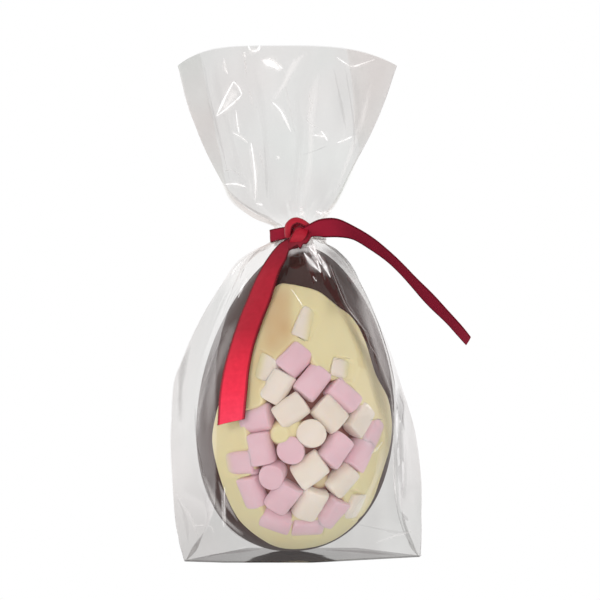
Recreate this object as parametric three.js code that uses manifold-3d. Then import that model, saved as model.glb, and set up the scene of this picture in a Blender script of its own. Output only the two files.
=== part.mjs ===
// A chocolate egg in a clear gusseted bag, tied at the neck with a satin ribbon.
// Millimetres, +Z up, -Y is the decorated front of the egg.
// The origin is on the flat base, below the bag's middle line, where the egg stands.
//
//   bag     the tied bag with the egg in it: one closed solid, from the flat
//           base over the stretched film round the egg to the fanned mouth
//   ribbon  the ribbon: a band round the neck, the knot in front and two tails
import * as THREE from 'three';
import * as BufferGeometryUtils from 'three/addons/utils/BufferGeometryUtils.js';
import Module from 'manifold-3d';

const wasm = await Module();
wasm.setup();

// ---- driving sizes -------------------------------------------------------
const EGG_HEIGHT = 122;              // egg, base to tip
const EGG_FOOT_X = -4.5;             // the egg leans a little over its left foot
const EGG_LEAN = 0.035;              // sideways shift per mm of height
const EGG_FILM_GAP = 0.8;            // film stands this far off the egg

const NECK_X = -3.1;                 // axis of the gathered neck
const NECK_R = 8.3;                  // radius of the gathered film
const NECK_LOW = 124.2, NECK_HIGH = 130.2;

const MOUTH_Z = 202.4;               // top edge of the fanned mouth, at its middle
const MOUTH_DROP = 8.2;              // its corners end this much lower
const MOUTH_HALF_DEPTH = 6.5;

const PANEL_STEPS = 11;              // facets across the front and back panels
const SIDE_STEPS = 6;                // facets across each gusset

const BAND_IN = 8.9, BAND_OUT = 9.9; // ribbon band round the neck
const BAND_LOW = 124.9, BAND_HIGH = 129.6;
const KNOT = { x: -1.9, y: -13.4, z: 127.4, rx: 5.6, ry: 4.2, rz: 5.3 };
const RIBBON_WIDTH = 10;
const RIBBON_THICK = 0.8;

// ---- small helpers -------------------------------------------------------
const lerp = (a, b, t) => a + (b - a) * t;

// egg radius and axis at height z
function eggRadius(z) {
  const u = (2 * z) / EGG_HEIGHT - 1;
  if (u <= -1 || u >= 1) return 0;
  return Math.sqrt(1 - u * u) * (38.8 - 6.4 * u - 3.0 * u * u * u);
}
const eggX = (z) => EGG_FOOT_X + EGG_LEAN * z;

// cubic through table rows [z, v1, v2, ...]
function through(rows, z) {
  const n = rows.length;
  let i = 0;
  while (i < n - 2 && z > rows[i + 1][0]) i++;
  const z0 = rows[i][0], z1 = rows[i + 1][0], h = z1 - z0;
  const t = Math.min(1, Math.max(0, (z - z0) / h));
  const slope = (k, c) => {
    if (k === 0) return (rows[1][c] - rows[0][c]) / (rows[1][0] - rows[0][0]);
    if (k === n - 1) return (rows[k][c] - rows[k - 1][c]) / (rows[k][0] - rows[k - 1][0]);
    const a = (rows[k][c] - rows[k - 1][c]) / (rows[k][0] - rows[k - 1][0]);
    const b = (rows[k + 1][c] - rows[k][c]) / (rows[k + 1][0] - rows[k][0]);
    return a * b <= 0 ? 0 : (2 * a * b) / (a + b);
  };
  const out = [];
  for (let c = 1; c < rows[i].length; c++) {
    const v0 = rows[i][c], v1 = rows[i + 1][c], m0 = slope(i, c) * h, m1 = slope(i + 1, c) * h;
    const t2 = t * t, t3 = t2 * t;
    out.push((2 * t3 - 3 * t2 + 1) * v0 + (t3 - 2 * t2 + t) * m0 + (-2 * t3 + 3 * t2) * v1 + (t3 - t2) * m1);
  }
  return out;
}

// The four long folds of the body: front-left, front-right, back-right and
// back-left, as x,y at each height. At the base each side's two folds meet in
// the corner where the bottom seal ends; at the neck all four run together.
const FOLDS = [
  // z,    FLx,   FLy,    FRx,   FRy,    BRx,   BRy,   BLx,   BLy
  [0.0, -45.2, -31.4, 46.0, -17.4, 46.8, -14.0, -45.8, -28.6],
  [6.0, -41.8, -33.0, 43.6, -21.0, 47.2, -3.0, -47.8, -18.0],
  [14.0, -36.4, -34.0, 40.4, -24.4, 47.5, 7.5, -50.2, -7.0],
  [25.0, -33.5, -33.5, 37.6, -24.5, 47.6, 17.0, -51.6, 4.0],
  [45.0, -33.2, -31.0, 37.2, -20.0, 46.4, 23.5, -52.4, 12.0],
  [65.0, -33.6, -27.2, 36.6, -17.5, 40.8, 23.5, -51.4, 14.0],
  [78.0, -33.2, -23.2, 34.6, -14.5, 36.6, 21.0, -48.2, 14.0],
  [88.0, -31.4, -19.4, 31.6, -12.5, 32.8, 18.0, -43.8, 13.0],
  [98.0, -28.4, -16.0, 27.6, -10.8, 28.8, 15.0, -38.6, 11.0],
  [108.0, -23.8, -13.0, 22.6, -9.6, 23.6, 12.5, -32.4, 9.0],
  [115.0, -19.2, -11.0, 18.0, -8.8, 18.6, 10.5, -26.2, 7.5],
  [120.0, -14.4, -9.6, 12.8, -8.4, 13.6, 9.0, -19.4, 6.6],
  [122.8, -10.6, -8.0, 7.6, -8.0, 8.6, 7.6, -13.2, 6.0],
];
// The flat base's own edges, front-left, front-right, back-right and back-left,
// fading into the egg's roundness further up.
const BASE_EDGES = [
  // z, x and y of the four
  [0.0, -30.0, -35.2, 4.0, -35.2, 22.0, 12.0, -22.0, 12.0],
  [8.0, -28.0, -35.8, 8.0, -35.6, 22.5, 16.0, -23.0, 16.0],
  [25.0, -22.0, -37.0, 14.0, -36.6, 20.0, 26.0, -22.0, 26.0],
  [40.0, -17.0, -37.6, 12.0, -37.2, 16.0, 34.4, -19.0, 34.4],
  [54.0, -12.0, -37.4, 6.0, -37.6, 10.0, 36.0, -14.0, 36.0],
];
// The fanned mouth: left and right edge and half depth above the neck.
const FAN = [
  // z,     left,  right, half depth
  [130.2, NECK_X - NECK_R, NECK_X + NECK_R, 8.3],
  [132.0, -14.6, 7.6, 7.6],
  [134.8, -20.2, 9.8, 6.6],
  [142.4, -28.0, 14.2, 5.8],
  [155.6, -35.2, 20.8, 5.6],
  [168.4, -40.8, 27.4, 5.8],
  [184.0, -46.2, 33.8, 6.2],
  [MOUTH_Z, -50.0, 38.4, MOUTH_HALF_DEPTH],
];
// How far each gusset is tucked in at its middle.
const TUCK = [
  [0.0, 0.6, 0.6], [5.0, 5.0, 4.0], [14.0, 6.0, 5.0], [28.0, 2.4, 2.4], [45.0, 0.4, 1.0],
  [65.0, 0.6, 1.6], [90.0, 1.6, 1.2], [110.0, 1.0, 0.8], [122.0, 0.2, 0.2],
];

// ---- convex outline and its even division --------------------------------
function hull(points) {
  const p = points.slice().sort((a, b) => a[0] - b[0] || a[1] - b[1]);
  const cross = (o, a, b) => (a[0] - o[0]) * (b[1] - o[1]) - (a[1] - o[1]) * (b[0] - o[0]);
  const half = (list) => {
    const out = [];
    for (const q of list) {
      while (out.length > 1 && cross(out[out.length - 2], out[out.length - 1], q) <= 1e-9) out.pop();
      out.push(q);
    }
    out.pop();
    return out;
  };
  return half(p).concat(half(p.reverse()));   // counter-clockwise
}

// position along the outline nearest to point c, as length from vertex 0
function along(outline, c) {
  let best = 1e9, at = 0, run = 0;
  for (let i = 0; i < outline.length; i++) {
    const a = outline[i], b = outline[(i + 1) % outline.length];
    const dx = b[0] - a[0], dy = b[1] - a[1], l2 = dx * dx + dy * dy, l = Math.sqrt(l2);
    const t = Math.min(1, Math.max(0, ((c[0] - a[0]) * dx + (c[1] - a[1]) * dy) / l2));
    const d = Math.hypot(a[0] + t * dx - c[0], a[1] + t * dy - c[1]);
    if (d < best - 1e-9) { best = d; at = run + t * l; }
    run += l;
  }
  return [at, run];
}
function pointAt(outline, s, total) {
  s = ((s % total) + total) % total;
  for (let i = 0; i < outline.length; i++) {
    const a = outline[i], b = outline[(i + 1) % outline.length];
    const l = Math.hypot(b[0] - a[0], b[1] - a[1]);
    if (s <= l) return [lerp(a[0], b[0], s / l), lerp(a[1], b[1], s / l)];
    s -= l;
  }
  return outline[0].slice();
}

// one level of the bag, the same number of points at every level
function section(z) {
  let pts = [], corners, tuck = [0, 0];
  if (z < NECK_LOW - 1) {
    const f = through(FOLDS, Math.min(z, 122.8));
    corners = [[f[0], f[1]], [f[2], f[3]], [f[4], f[5]], [f[6], f[7]]];
    pts = corners.slice();
    if (z <= 54) {
      const e = through(BASE_EDGES, z);
      for (let i = 0; i < 8; i += 2) pts.push([e[i], e[i + 1]]);
    }
    const r = eggRadius(Math.min(z, 119)) + EGG_FILM_GAP, cx = eggX(z);
    if (z > 2) for (let i = 0; i < 72; i++) {
      const a = (i * Math.PI) / 36;
      pts.push([cx + r * Math.cos(a), r * Math.sin(a)]);
    }
    tuck = through(TUCK, z);
  } else {
    const f = z <= NECK_HIGH ? [NECK_X - NECK_R, NECK_X + NECK_R, NECK_R] : through(FAN, z);
    const cx = (f[0] + f[1]) / 2, a = (f[1] - f[0]) / 2, d = f[2];
    const flat = Math.min(1, Math.max(0, (a - 9) / 12));     // how far it is fanned
    const c = lerp(0.74, 0.985, flat), s = lerp(0.67, 0.16, flat);
    corners = [[cx - a * c, -d * s], [cx + a * c, -d * s], [cx + a * c, d * s], [cx - a * c, d * s]];
    for (let i = 0; i < 72; i++) {
      const t = (i * Math.PI) / 36;
      pts.push([cx + a * Math.cos(t), d * Math.sin(t) * lerp(1, 0.9 + 0.1 * Math.cos(t) ** 2, flat)]);
    }
  }
  const outline = hull(pts);
  const at = corners.map((c) => along(outline, c)[0]);
  const total = along(outline, corners[0])[1];
  const ring = [];
  const steps = [PANEL_STEPS, SIDE_STEPS, PANEL_STEPS, SIDE_STEPS];
  for (let k = 0; k < 4; k++) {
    let a = at[k], b = at[(k + 1) % 4];
    while (b < a) b += total;
    if (b - a > total * 0.9) b = a;
    for (let i = 0; i < steps[k]; i++) {
      const p = pointAt(outline, lerp(a, b, i / steps[k]), total);
      if (k % 2 === 1) {
        const g = (k === 1 ? -tuck[1] : tuck[0]) * (1 - Math.abs((2 * i) / steps[k] - 1));
        p[0] += g;
      }
      ring.push(p);
    }
  }
  return ring;
}

// lofted closed solid from rings of [x, y, z]
function loft(rings) {
  const n = rings[0].length, pos = [], index = [];
  for (const ring of rings) for (const p of ring) pos.push(p[0], p[1], p[2]);
  for (let j = 0; j + 1 < rings.length; j++) for (let i = 0; i < n; i++) {
    const a = j * n + i, b = j * n + ((i + 1) % n), c = a + n, d = b + n;
    index.push(a, b, d, a, d, c);
  }
  for (const [ring, base, up] of [[rings[0], 0, false], [rings[rings.length - 1], (rings.length - 1) * n, true]]) {
    const m = pos.length / 3;
    let x = 0, y = 0, z = 0;
    for (const p of ring) { x += p[0] / n; y += p[1] / n; z += p[2] / n; }
    pos.push(x, y, z);
    for (let i = 0; i < n; i++) {
      const a = base + i, b = base + ((i + 1) % n);
      if (up) index.push(a, b, m); else index.push(b, a, m);
    }
  }
  const g = new THREE.BufferGeometry();
  g.setAttribute('position', new THREE.Float32BufferAttribute(pos, 3));
  g.setIndex(index);
  return g;
}

// ---- joining -------------------------------------------------------------
function toSolid(geometry) {
  const g = geometry.clone();
  g.deleteAttribute('normal');
  g.deleteAttribute('uv');
  const m = BufferGeometryUtils.mergeVertices(g, 1e-4);
  return new wasm.Manifold(new wasm.Mesh({
    numProp: 3,
    vertProperties: new Float32Array(m.attributes.position.array),
    triVerts: new Uint32Array(m.index.array),
  }));
}
function toGeometry(solid) {
  const m = solid.getMesh(), g = new THREE.BufferGeometry();
  g.setAttribute('position', new THREE.BufferAttribute(new Float32Array(m.vertProperties), 3));
  g.setIndex(new THREE.BufferAttribute(new Uint32Array(m.triVerts), 1));
  return g;
}

// ---- the bag -------------------------------------------------------------
const LEVELS = [
  0, 3, 6, 10, 14, 19, 25, 32, 39, 46, 53, 60, 67, 74, 81, 88, 94, 100, 106, 111, 115, 118.5, 121.2, 122.8,
  NECK_LOW, 127.2, NECK_HIGH, 131.4, 133, 135.2, 138.6, 143, 149, 156, 164, 173, 182, 192, MOUTH_Z,
];
function bagRing(z) {
  const fan = Math.max(0, (z - 150) / (MOUTH_Z - 150));
  return section(z).map(([x, y]) => {
    const s = (x + 5.8) / 44.2;
    return [x, y, z - MOUTH_DROP * fan * fan * s * s];
  });
}
const bagGeometry = BufferGeometryUtils.mergeVertices(loft(LEVELS.map(bagRing)), 1e-4);

// ---- the ribbon ----------------------------------------------------------
// A flat strip along a path. Each row: x, y, z of the middle line, and the
// direction of its width.
function strip(rows, steps, width, thick) {
  const at = rows.map((r) => new THREE.Vector3(r[0], r[1], r[2]));
  const wide = rows.map((r) => new THREE.Vector3(r[3], r[4], r[5]).normalize());
  const path = new THREE.CatmullRomCurve3(at, false, 'centripetal');
  const rings = [];
  for (let i = 0; i <= steps; i++) {
    const t = i / steps, p = path.getPoint(t), d = path.getTangent(t);
    const k = Math.min(rows.length - 2, Math.floor(t * (rows.length - 1)));
    const w = wide[k].clone().lerp(wide[k + 1], t * (rows.length - 1) - k);
    w.addScaledVector(d, -w.dot(d)).normalize();
    const n = new THREE.Vector3().crossVectors(d, w).normalize();
    const ring = [];
    for (const [a, b] of [[-1, -1], [0, -1], [1, -1], [1, 1], [0, 1], [-1, 1]]) {
      const q = p.clone().addScaledVector(w, (a * width) / 2).addScaledVector(n, (b * thick) / 2);
      ring.push([q.x, q.y, q.z]);
    }
    rings.push(ring);
  }
  return loft(rings);
}
// the tail that hangs down over the egg's front, at the left
const LEFT_TAIL = [
  [-3.6, -15.0, 125.6, 0.50, -0.70, 0.50],
  [-8.8, -16.6, 120.2, 0.58, -0.58, 0.56],
  [-15.6, -20.0, 110.4, 0.76, -0.46, 0.46],
  [-21.4, -25.4, 95.2, 0.92, -0.28, 0.26],
  [-25.5, -30.2, 79.8, 0.97, -0.18, 0.16],
  [-27.4, -33.9, 65.2, 0.99, -0.12, 0.10],
  [-27.6, -35.2, 54.0, 0.99, -0.12, 0.16],
];
// the tail that springs out to the right and stands clear of the bag
const RIGHT_TAIL = [
  [1.6, -14.0, 127.6, 0.10, -0.82, 0.56],
  [8.2, -15.4, 129.2, 0.05, -0.76, 0.66],
  [14.1, -17.0, 129.3, 0.00, -0.72, 0.70],
  [21.1, -19.0, 126.8, 0.10, -0.78, 0.60],
  [29.7, -21.0, 121.3, 0.20, -0.82, 0.52],
  [38.6, -23.0, 113.4, 0.26, -0.84, 0.46],
  [47.4, -25.0, 103.8, 0.26, -0.87, 0.40],
  [56.2, -27.0, 94.7, 0.22, -0.92, 0.30],
  [64.6, -28.0, 85.2, 0.18, -0.95, 0.20],
];
const band = new THREE.LatheGeometry(
  [[BAND_IN, BAND_LOW], [BAND_OUT, BAND_LOW + 0.5], [BAND_OUT, BAND_HIGH - 0.5], [BAND_IN, BAND_HIGH], [BAND_IN, BAND_LOW]]
    .map(([r, z]) => new THREE.Vector2(r, z)), 36).rotateX(Math.PI / 2).translate(NECK_X, 0, 0);
const knotBody = new THREE.SphereGeometry(1, 20, 12).scale(KNOT.rx, KNOT.ry, KNOT.rz)
  .rotateY(0.5).translate(KNOT.x, KNOT.y, KNOT.z);
// the turn of ribbon that comes over the top of the knot
const knotTurn = new THREE.TorusGeometry(4.0, 2.0, 10, 22).scale(1.15, 1.0, 0.9)
  .rotateX(Math.PI / 2).rotateZ(0.15).translate(KNOT.x - 0.9, KNOT.y - 0.6, KNOT.z + 1.3);
const ribbonSolid = toSolid(band)
  .add(toSolid(knotBody))
  .add(toSolid(knotTurn))
  .add(toSolid(strip(LEFT_TAIL, 26, RIBBON_WIDTH, RIBBON_THICK)))
  .add(toSolid(strip(RIGHT_TAIL, 34, RIBBON_WIDTH * 0.96, RIBBON_THICK)));

// ---- the object ----------------------------------------------------------
const object = new THREE.Group();
function add(name, geometry, material) {
  const mesh = new THREE.Mesh(geometry, new THREE.MeshStandardMaterial(material));
  mesh.name = name;
  object.add(mesh);
}
add('bag', bagGeometry, { color: 0xd8d9dc, roughness: 0.12, metalness: 0.0 });
add('ribbon', toGeometry(ribbonSolid), { color: 0xb8142a, roughness: 0.45, metalness: 0.0 });

export default object;
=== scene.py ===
import math

import bpy
import numpy as np
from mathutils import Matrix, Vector


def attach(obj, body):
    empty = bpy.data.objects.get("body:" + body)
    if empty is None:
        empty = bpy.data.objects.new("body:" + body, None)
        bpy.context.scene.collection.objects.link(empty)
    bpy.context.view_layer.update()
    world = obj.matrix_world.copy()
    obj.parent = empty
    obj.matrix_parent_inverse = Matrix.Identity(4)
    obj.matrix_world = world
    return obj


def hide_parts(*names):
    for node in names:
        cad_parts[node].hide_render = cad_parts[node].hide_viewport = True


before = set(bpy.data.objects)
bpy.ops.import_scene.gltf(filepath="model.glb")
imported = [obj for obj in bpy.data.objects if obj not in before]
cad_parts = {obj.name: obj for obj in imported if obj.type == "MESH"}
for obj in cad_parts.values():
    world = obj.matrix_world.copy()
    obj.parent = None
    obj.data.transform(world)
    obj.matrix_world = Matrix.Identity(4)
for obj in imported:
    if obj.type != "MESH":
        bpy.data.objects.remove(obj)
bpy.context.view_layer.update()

MM = 0.001
RNG = np.random.RandomState

# ---------------------------------------------------------------------------
# The camera's own geometry: 900 mm in front of the object, 110 mm above the
# table, 2.5 picture pixels to the millimetre at the object's middle plane.
# ---------------------------------------------------------------------------
CAM_D, CAM_X, CAM_Z, SCALE, HORIZON = 900.0, -0.8, 110.0, 2.5, 277.0


def unproject(px, py, y):
    k = (CAM_D + y) / CAM_D
    return CAM_X + (px - 300.0) / SCALE * k, CAM_Z + (HORIZON - py) / SCALE * k


def project(x, y, z):
    k = CAM_D / (CAM_D + y)
    return 300.0 + (x - CAM_X) * SCALE * k, HORIZON - (z - CAM_Z) * SCALE * k


# ---------------------------------------------------------------------------
# Small helpers
# ---------------------------------------------------------------------------
def smooth(a, b, x):
    t = np.clip((x - a) / (b - a), 0.0, 1.0)
    return t * t * (3 - 2 * t)


def tent(x):
    return np.clip(1 - np.abs(x), 0, None)


def tri_wave(x):
    """0..1 zigzag of period 1"""
    return np.abs(2 * (x - np.floor(x + 0.5)))


class Noise:
    """Seeded smooth value noise in three dimensions, about -1..1."""

    def __init__(self, seed, n=17):
        self.n = n
        self.v = RNG(seed).uniform(-1, 1, (n, n, n))

    def __call__(self, x, y, z, size):
        n = self.n
        c = [np.asarray(a, dtype=float) / size for a in (x, y, z)]
        i = [np.floor(a).astype(int) for a in c]
        f = [a - b for a, b in zip(c, i)]
        f = [a * a * (3 - 2 * a) for a in f]
        out = 0.0
        for dx in (0, 1):
            for dy in (0, 1):
                for dz in (0, 1):
                    w = (
                        (f[0] if dx else 1 - f[0])
                        * (f[1] if dy else 1 - f[1])
                        * (f[2] if dz else 1 - f[2])
                    )
                    out = out + w * self.v[(i[0] + dx) % n, (i[1] + dy) % n, (i[2] + dz) % n]
        return out


def mesh_object(name, verts_mm, faces, smooth_shade=True, uv=None):
    """faces: an (n,4) or (n,3) array, or a list of arrays of either"""
    verts = np.asarray(verts_mm, dtype=np.float64) * MM
    groups = faces if isinstance(faces, list) else [faces]
    me = bpy.data.meshes.new(name)
    loops = np.concatenate([g.reshape(-1) for g in groups]).astype(np.int32)
    totals = np.concatenate([np.full(len(g), g.shape[1]) for g in groups]).astype(np.int32)
    starts = np.concatenate([[0], np.cumsum(totals)[:-1]]).astype(np.int32)
    me.vertices.add(len(verts))
    me.vertices.foreach_set("co", verts.reshape(-1))
    me.loops.add(len(loops))
    me.loops.foreach_set("vertex_index", loops)
    me.polygons.add(len(totals))
    me.polygons.foreach_set("loop_start", starts)
    me.polygons.foreach_set("loop_total", totals)
    me.polygons.foreach_set("use_smooth", np.full(len(totals), smooth_shade))
    if uv is not None:
        layer = me.uv_layers.new(name="UVMap")
        layer.data.foreach_set("uv", np.asarray(uv, dtype=np.float64)[loops].reshape(-1))
    me.update(calc_edges=True)
    me.validate()
    ob = bpy.data.objects.new(name, me)
    bpy.context.scene.collection.objects.link(ob)
    return ob


def grid_faces(rows, cols, wrap=False, flip=False):
    i = np.arange(rows - 1)[:, None]
    j = np.arange(cols if wrap else cols - 1)[None, :]
    j2 = (j + 1) % cols
    a, b = i * cols + j, i * cols + j2
    c, d = (i + 1) * cols + j2, (i + 1) * cols + j
    quads = np.stack([a, b, c, d], -1).reshape(-1, 4)
    return quads[:, ::-1] if flip else quads


def inside(px, py, poly):
    x, y = np.asarray(px), np.asarray(py)
    c = np.zeros(x.shape, bool)
    n = len(poly)
    for i in range(n):
        x1, y1 = poly[i]
        x2, y2 = poly[(i + 1) % n]
        hit = ((y1 > y) != (y2 > y)) & (x < (x2 - x1) * (y - y1) / ((y2 - y1) or 1e-9) + x1)
        c ^= hit
    return c


def signed(px, py, poly):
    """distance to a closed outline, positive inside"""
    best = np.full(np.shape(px), 1e9)
    n = len(poly)
    for i in range(n):
        x1, y1 = poly[i]
        x2, y2 = poly[(i + 1) % n]
        dx, dy = x2 - x1, y2 - y1
        t = np.clip(((px - x1) * dx + (py - y1) * dy) / (dx * dx + dy * dy + 1e-12), 0, 1)
        best = np.minimum(best, np.hypot(px - x1 - t * dx, py - y1 - t * dy))
    return np.where(inside(px, py, poly), best, -best)


def spline(points, n, closed=True):
    """Catmull-Rom through points"""
    p = np.asarray(points, dtype=float)
    m = len(p)
    out = []
    segs = m if closed else m - 1
    for i in range(segs):
        if closed:
            p0, p1, p2, p3 = p[(i - 1) % m], p[i], p[(i + 1) % m], p[(i + 2) % m]
        else:
            p0, p1, p2, p3 = p[max(i - 1, 0)], p[i], p[i + 1], p[min(i + 2, m - 1)]
        for k in range(n):
            t = k / n
            out.append(
                0.5
                * (
                    2 * p1
                    + (p2 - p0) * t
                    + (2 * p0 - 5 * p1 + 4 * p2 - p3) * t * t
                    + (3 * p1 - p0 - 3 * p2 + p3) * t**3
                )
            )
    if not closed:
        out.append(p[-1])
    return np.array(out)


# ---------------------------------------------------------------------------
# Material helpers
# ---------------------------------------------------------------------------
def new_material(name):
    m = bpy.data.materials.new(name)
    m.use_nodes = True
    nt = m.node_tree
    nt.nodes.clear()
    out = nt.nodes.new("ShaderNodeOutputMaterial")
    return m, nt, out


def node(nt, kind, **inputs):
    n = nt.nodes.new(kind)
    for k, v in inputs.items():
        if k.startswith("_"):
            setattr(n, k[1:], v)
        else:
            n.inputs[k.replace("__", " ")].default_value = v
    return n


def ramp(nt, stops, interpolation="LINEAR"):
    r = nt.nodes.new("ShaderNodeValToRGB")
    r.color_ramp.interpolation = interpolation
    e = r.color_ramp.elements
    while len(e) > 1:
        e.remove(e[0])
    e[0].position, e[0].color = stops[0][0], stops[0][1]
    for pos, col in stops[1:]:
        x = e.new(pos)
        x.color = col
    return r


# ---------------------------------------------------------------------------
# The egg
# ---------------------------------------------------------------------------
EGG_H, EGG_Z0 = 121.7, 0.3


def egg_radius(u):
    return np.sqrt(np.clip(1 - u * u, 0, None)) * (38.8 - 6.4 * u - 3.0 * u**3)


def egg_slope(u):
    e = 1e-4
    return (egg_radius(np.clip(u + e, -1, 1)) - egg_radius(np.clip(u - e, -1, 1))) / (2 * e) * 2 / EGG_H


def egg_x(z):
    return -4.5 + 0.035 * z


def egg_at(u, th):
    """point and outward normal on the plain egg"""
    r = egg_radius(u)
    z = EGG_Z0 + (1 + u) / 2 * EGG_H
    p = np.stack([egg_x(z) + r * np.cos(th), r * np.sin(th), z + 0 * th], -1)
    m = np.clip(egg_slope(u), -1e3, 1e3)
    n = np.stack([np.cos(th), np.sin(th), -m + 0 * th], -1)
    n /= np.linalg.norm(n, axis=-1, keepdims=True)
    return p, n


def egg_hit(px, py):
    """where the camera's line through a picture point meets the egg's front"""
    y = -30.0
    for _ in range(12):
        x, z = unproject(px, py, y)
        u = np.clip(2 * (z - EGG_Z0) / EGG_H - 1, -0.999, 0.999)
        r = float(egg_radius(np.array(u)))
        dx = np.clip(x - egg_x(z), -r * 0.9995, r * 0.9995)
        y = -math.sqrt(r * r - dx * dx)
    th = math.atan2(y, dx)
    p, n = egg_at(np.array(u), np.array(th))
    return p, n


def above_egg(p):
    """height of points over the plain egg, and the egg's normal there"""
    z = p[..., 2]
    u = np.clip(2 * (z - EGG_Z0) / EGG_H - 1, -0.9995, 0.9995)
    r = egg_radius(u)
    dx, dy = p[..., 0] - egg_x(z), p[..., 1]
    m = egg_slope(u)
    rad = np.hypot(dx, dy) + 1e-9
    n = np.stack([dx / rad, dy / rad, -m], -1)
    n /= np.linalg.norm(n, axis=-1, keepdims=True)
    return (rad - r) / np.sqrt(1 + m * m), n


# the white chocolate's outline, in picture coordinates
PATCH = spline(
    [
        (279, 283), (290, 283), (301, 285), (313, 288), (322, 292), (331, 299), (340, 306.5),
        (348, 312), (355, 319.5), (361, 329), (367, 343), (372, 359), (377, 374), (383, 386),
        (388.6, 397), (392, 411), (393.4, 429), (391, 448), (386, 465), (381, 481),
        (375.5, 497), (367.6, 511), (357.6, 523), (346.2, 533.3), (334.8, 540.8), (320, 547),
        (300, 550.2), (283, 549.6), (270, 545.6), (258, 538.5), (247, 530), (238, 520.5),
        (230, 507), (223.5, 492), (217, 472), (212.5, 453), (211, 437), (213.5, 420),
        (218.5, 400), (225, 378), (233, 356), (242, 335), (252, 314), (264, 295),
    ],
    5,
)
# low chocolate lumps that fill gaps: px, py, radius px, height mm below the egg's surface
LUMPS = [(278, 434, 13, 1.35), (286, 431.5, 14, 1.35), (294, 428, 11, 1.4), (322, 482.5, 12, 2.6), (328, 366, 7, 1.6), (349, 471, 7, 3.2), (258, 512, 8, 1.8), (343, 517, 7, 1.6), (372, 418, 6, 1.5)]

# marshmallows: px, py, axis angle (deg, 0 right, 90 up), length px, width px,
# kind, how far it stands out (mm), tilt of the axis out of the surface (deg),
# and, where the chocolate covers one side, that side's direction (deg) and slope
MARSHMALLOWS = [
    (306, 324.0, 67, 30, 22, "white_flush", 1.1, 0, -8, 0.0),
    (293.8, 359.2, 45, 30.5, 28, "pink", 0.6, 3, 120, 0.04),
    (263.5, 367, 58, 25, 27, "white_flush", 0.9, 0, 165, 0.0),
    (343.5, 369.0, -17, 26, 20.5, "white_flush", 1.0, 0, -4, 0.0),
    (312, 382.5, 51, 32, 24.5, "pink", 0.6, -3),
    (277.5, 387, 57, 32, 25, "white", 0.5, 2),
    (342.2, 395.2, -44, 32, 25, "pink", 0.45, 3, 50, 0.07),
    (291, 410.5, 36, 32, 26.5, "white", 0.8, 0),
    (329, 414, -47, 31, 26, "white", 0.7, 2),
    (358.6, 419.5, 60, 27.0, 22.5, "white", 1.9, 0),
    (257.8, 419.2, 14, 29, 25.5, "pink", 0.5, 4, 190, 0.05),
    (312, 434.8, 0, 27, 27.5, "white_end", 1.0, 6),
    (373, 433.5, 66, 25, 24.5, "pink", 1.0, 0, -20, 0.0),
    (261.6, 447.8, 101, 32, 26.5, "pink", 0.6, -2),
    (290.6, 452.6, 0, 27, 26.5, "pink_end", 0.6, 8),
    (334.5, 449.5, 56, 31, 26, "pink", 0.7, 2),
    (357, 454, 62, 30, 25, "pink", 0.3, -3),
    (238.5, 463, 6, 29, 25, "pink", 1.0, 0, 190, 0.0),
    (271, 476.5, 0, 26, 25, "pink_end", 0.7, -7),
    (309.5, 469.5, 37, 32, 26.5, "white", 0.8, 2),
    (340.5, 479.5, 45, 30, 26, "white", 0.6, -2),
    (252, 489.5, 108, 31, 24.5, "pink", 0.4, 2),
    (283.5, 496, 52, 30, 25.5, "pink", 0.8, -2),
    (310, 502.5, 61, 31, 25.5, "white", 0.8, 2),
    (330.4, 510, 54, 31, 24.5, "pink", 0.5, 3),
    (354.5, 505.5, 66, 26, 23, "white_flush", 1.7, 0, -20, 0.0),
    (277.5, 518, -18, 31, 25, "pink", 0.3, 3),
    (307.5, 527.5, 2, 31, 23, "pink", 1.0, 0, -90, 0.0),
]


field_noise = Noise(5)
# those that the chocolate has flowed round, flush with it
FLUSH = {0, 2, 3, 12, 17, 25, 27}


def to_outline(px, py, spec):
    """distance in px to a marshmallow's outline, positive inside"""
    cx, cy, ang, length, width = spec[:5]
    if spec[5].endswith("_end"):
        return (length + width) / 4 - np.hypot(px - cx, py - cy)
    c, s = math.cos(math.radians(ang)), math.sin(math.radians(ang))
    u = np.abs((px - cx) * c - (py - cy) * s)
    v = np.abs((px - cx) * s + (py - cy) * c)
    r = 4.0
    qx, qy = u - length / 2 + r, v - width / 2 + r
    return r - np.hypot(np.clip(qx, 0, None), np.clip(qy, 0, None)) - np.minimum(np.maximum(qx, qy), 0)


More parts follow.
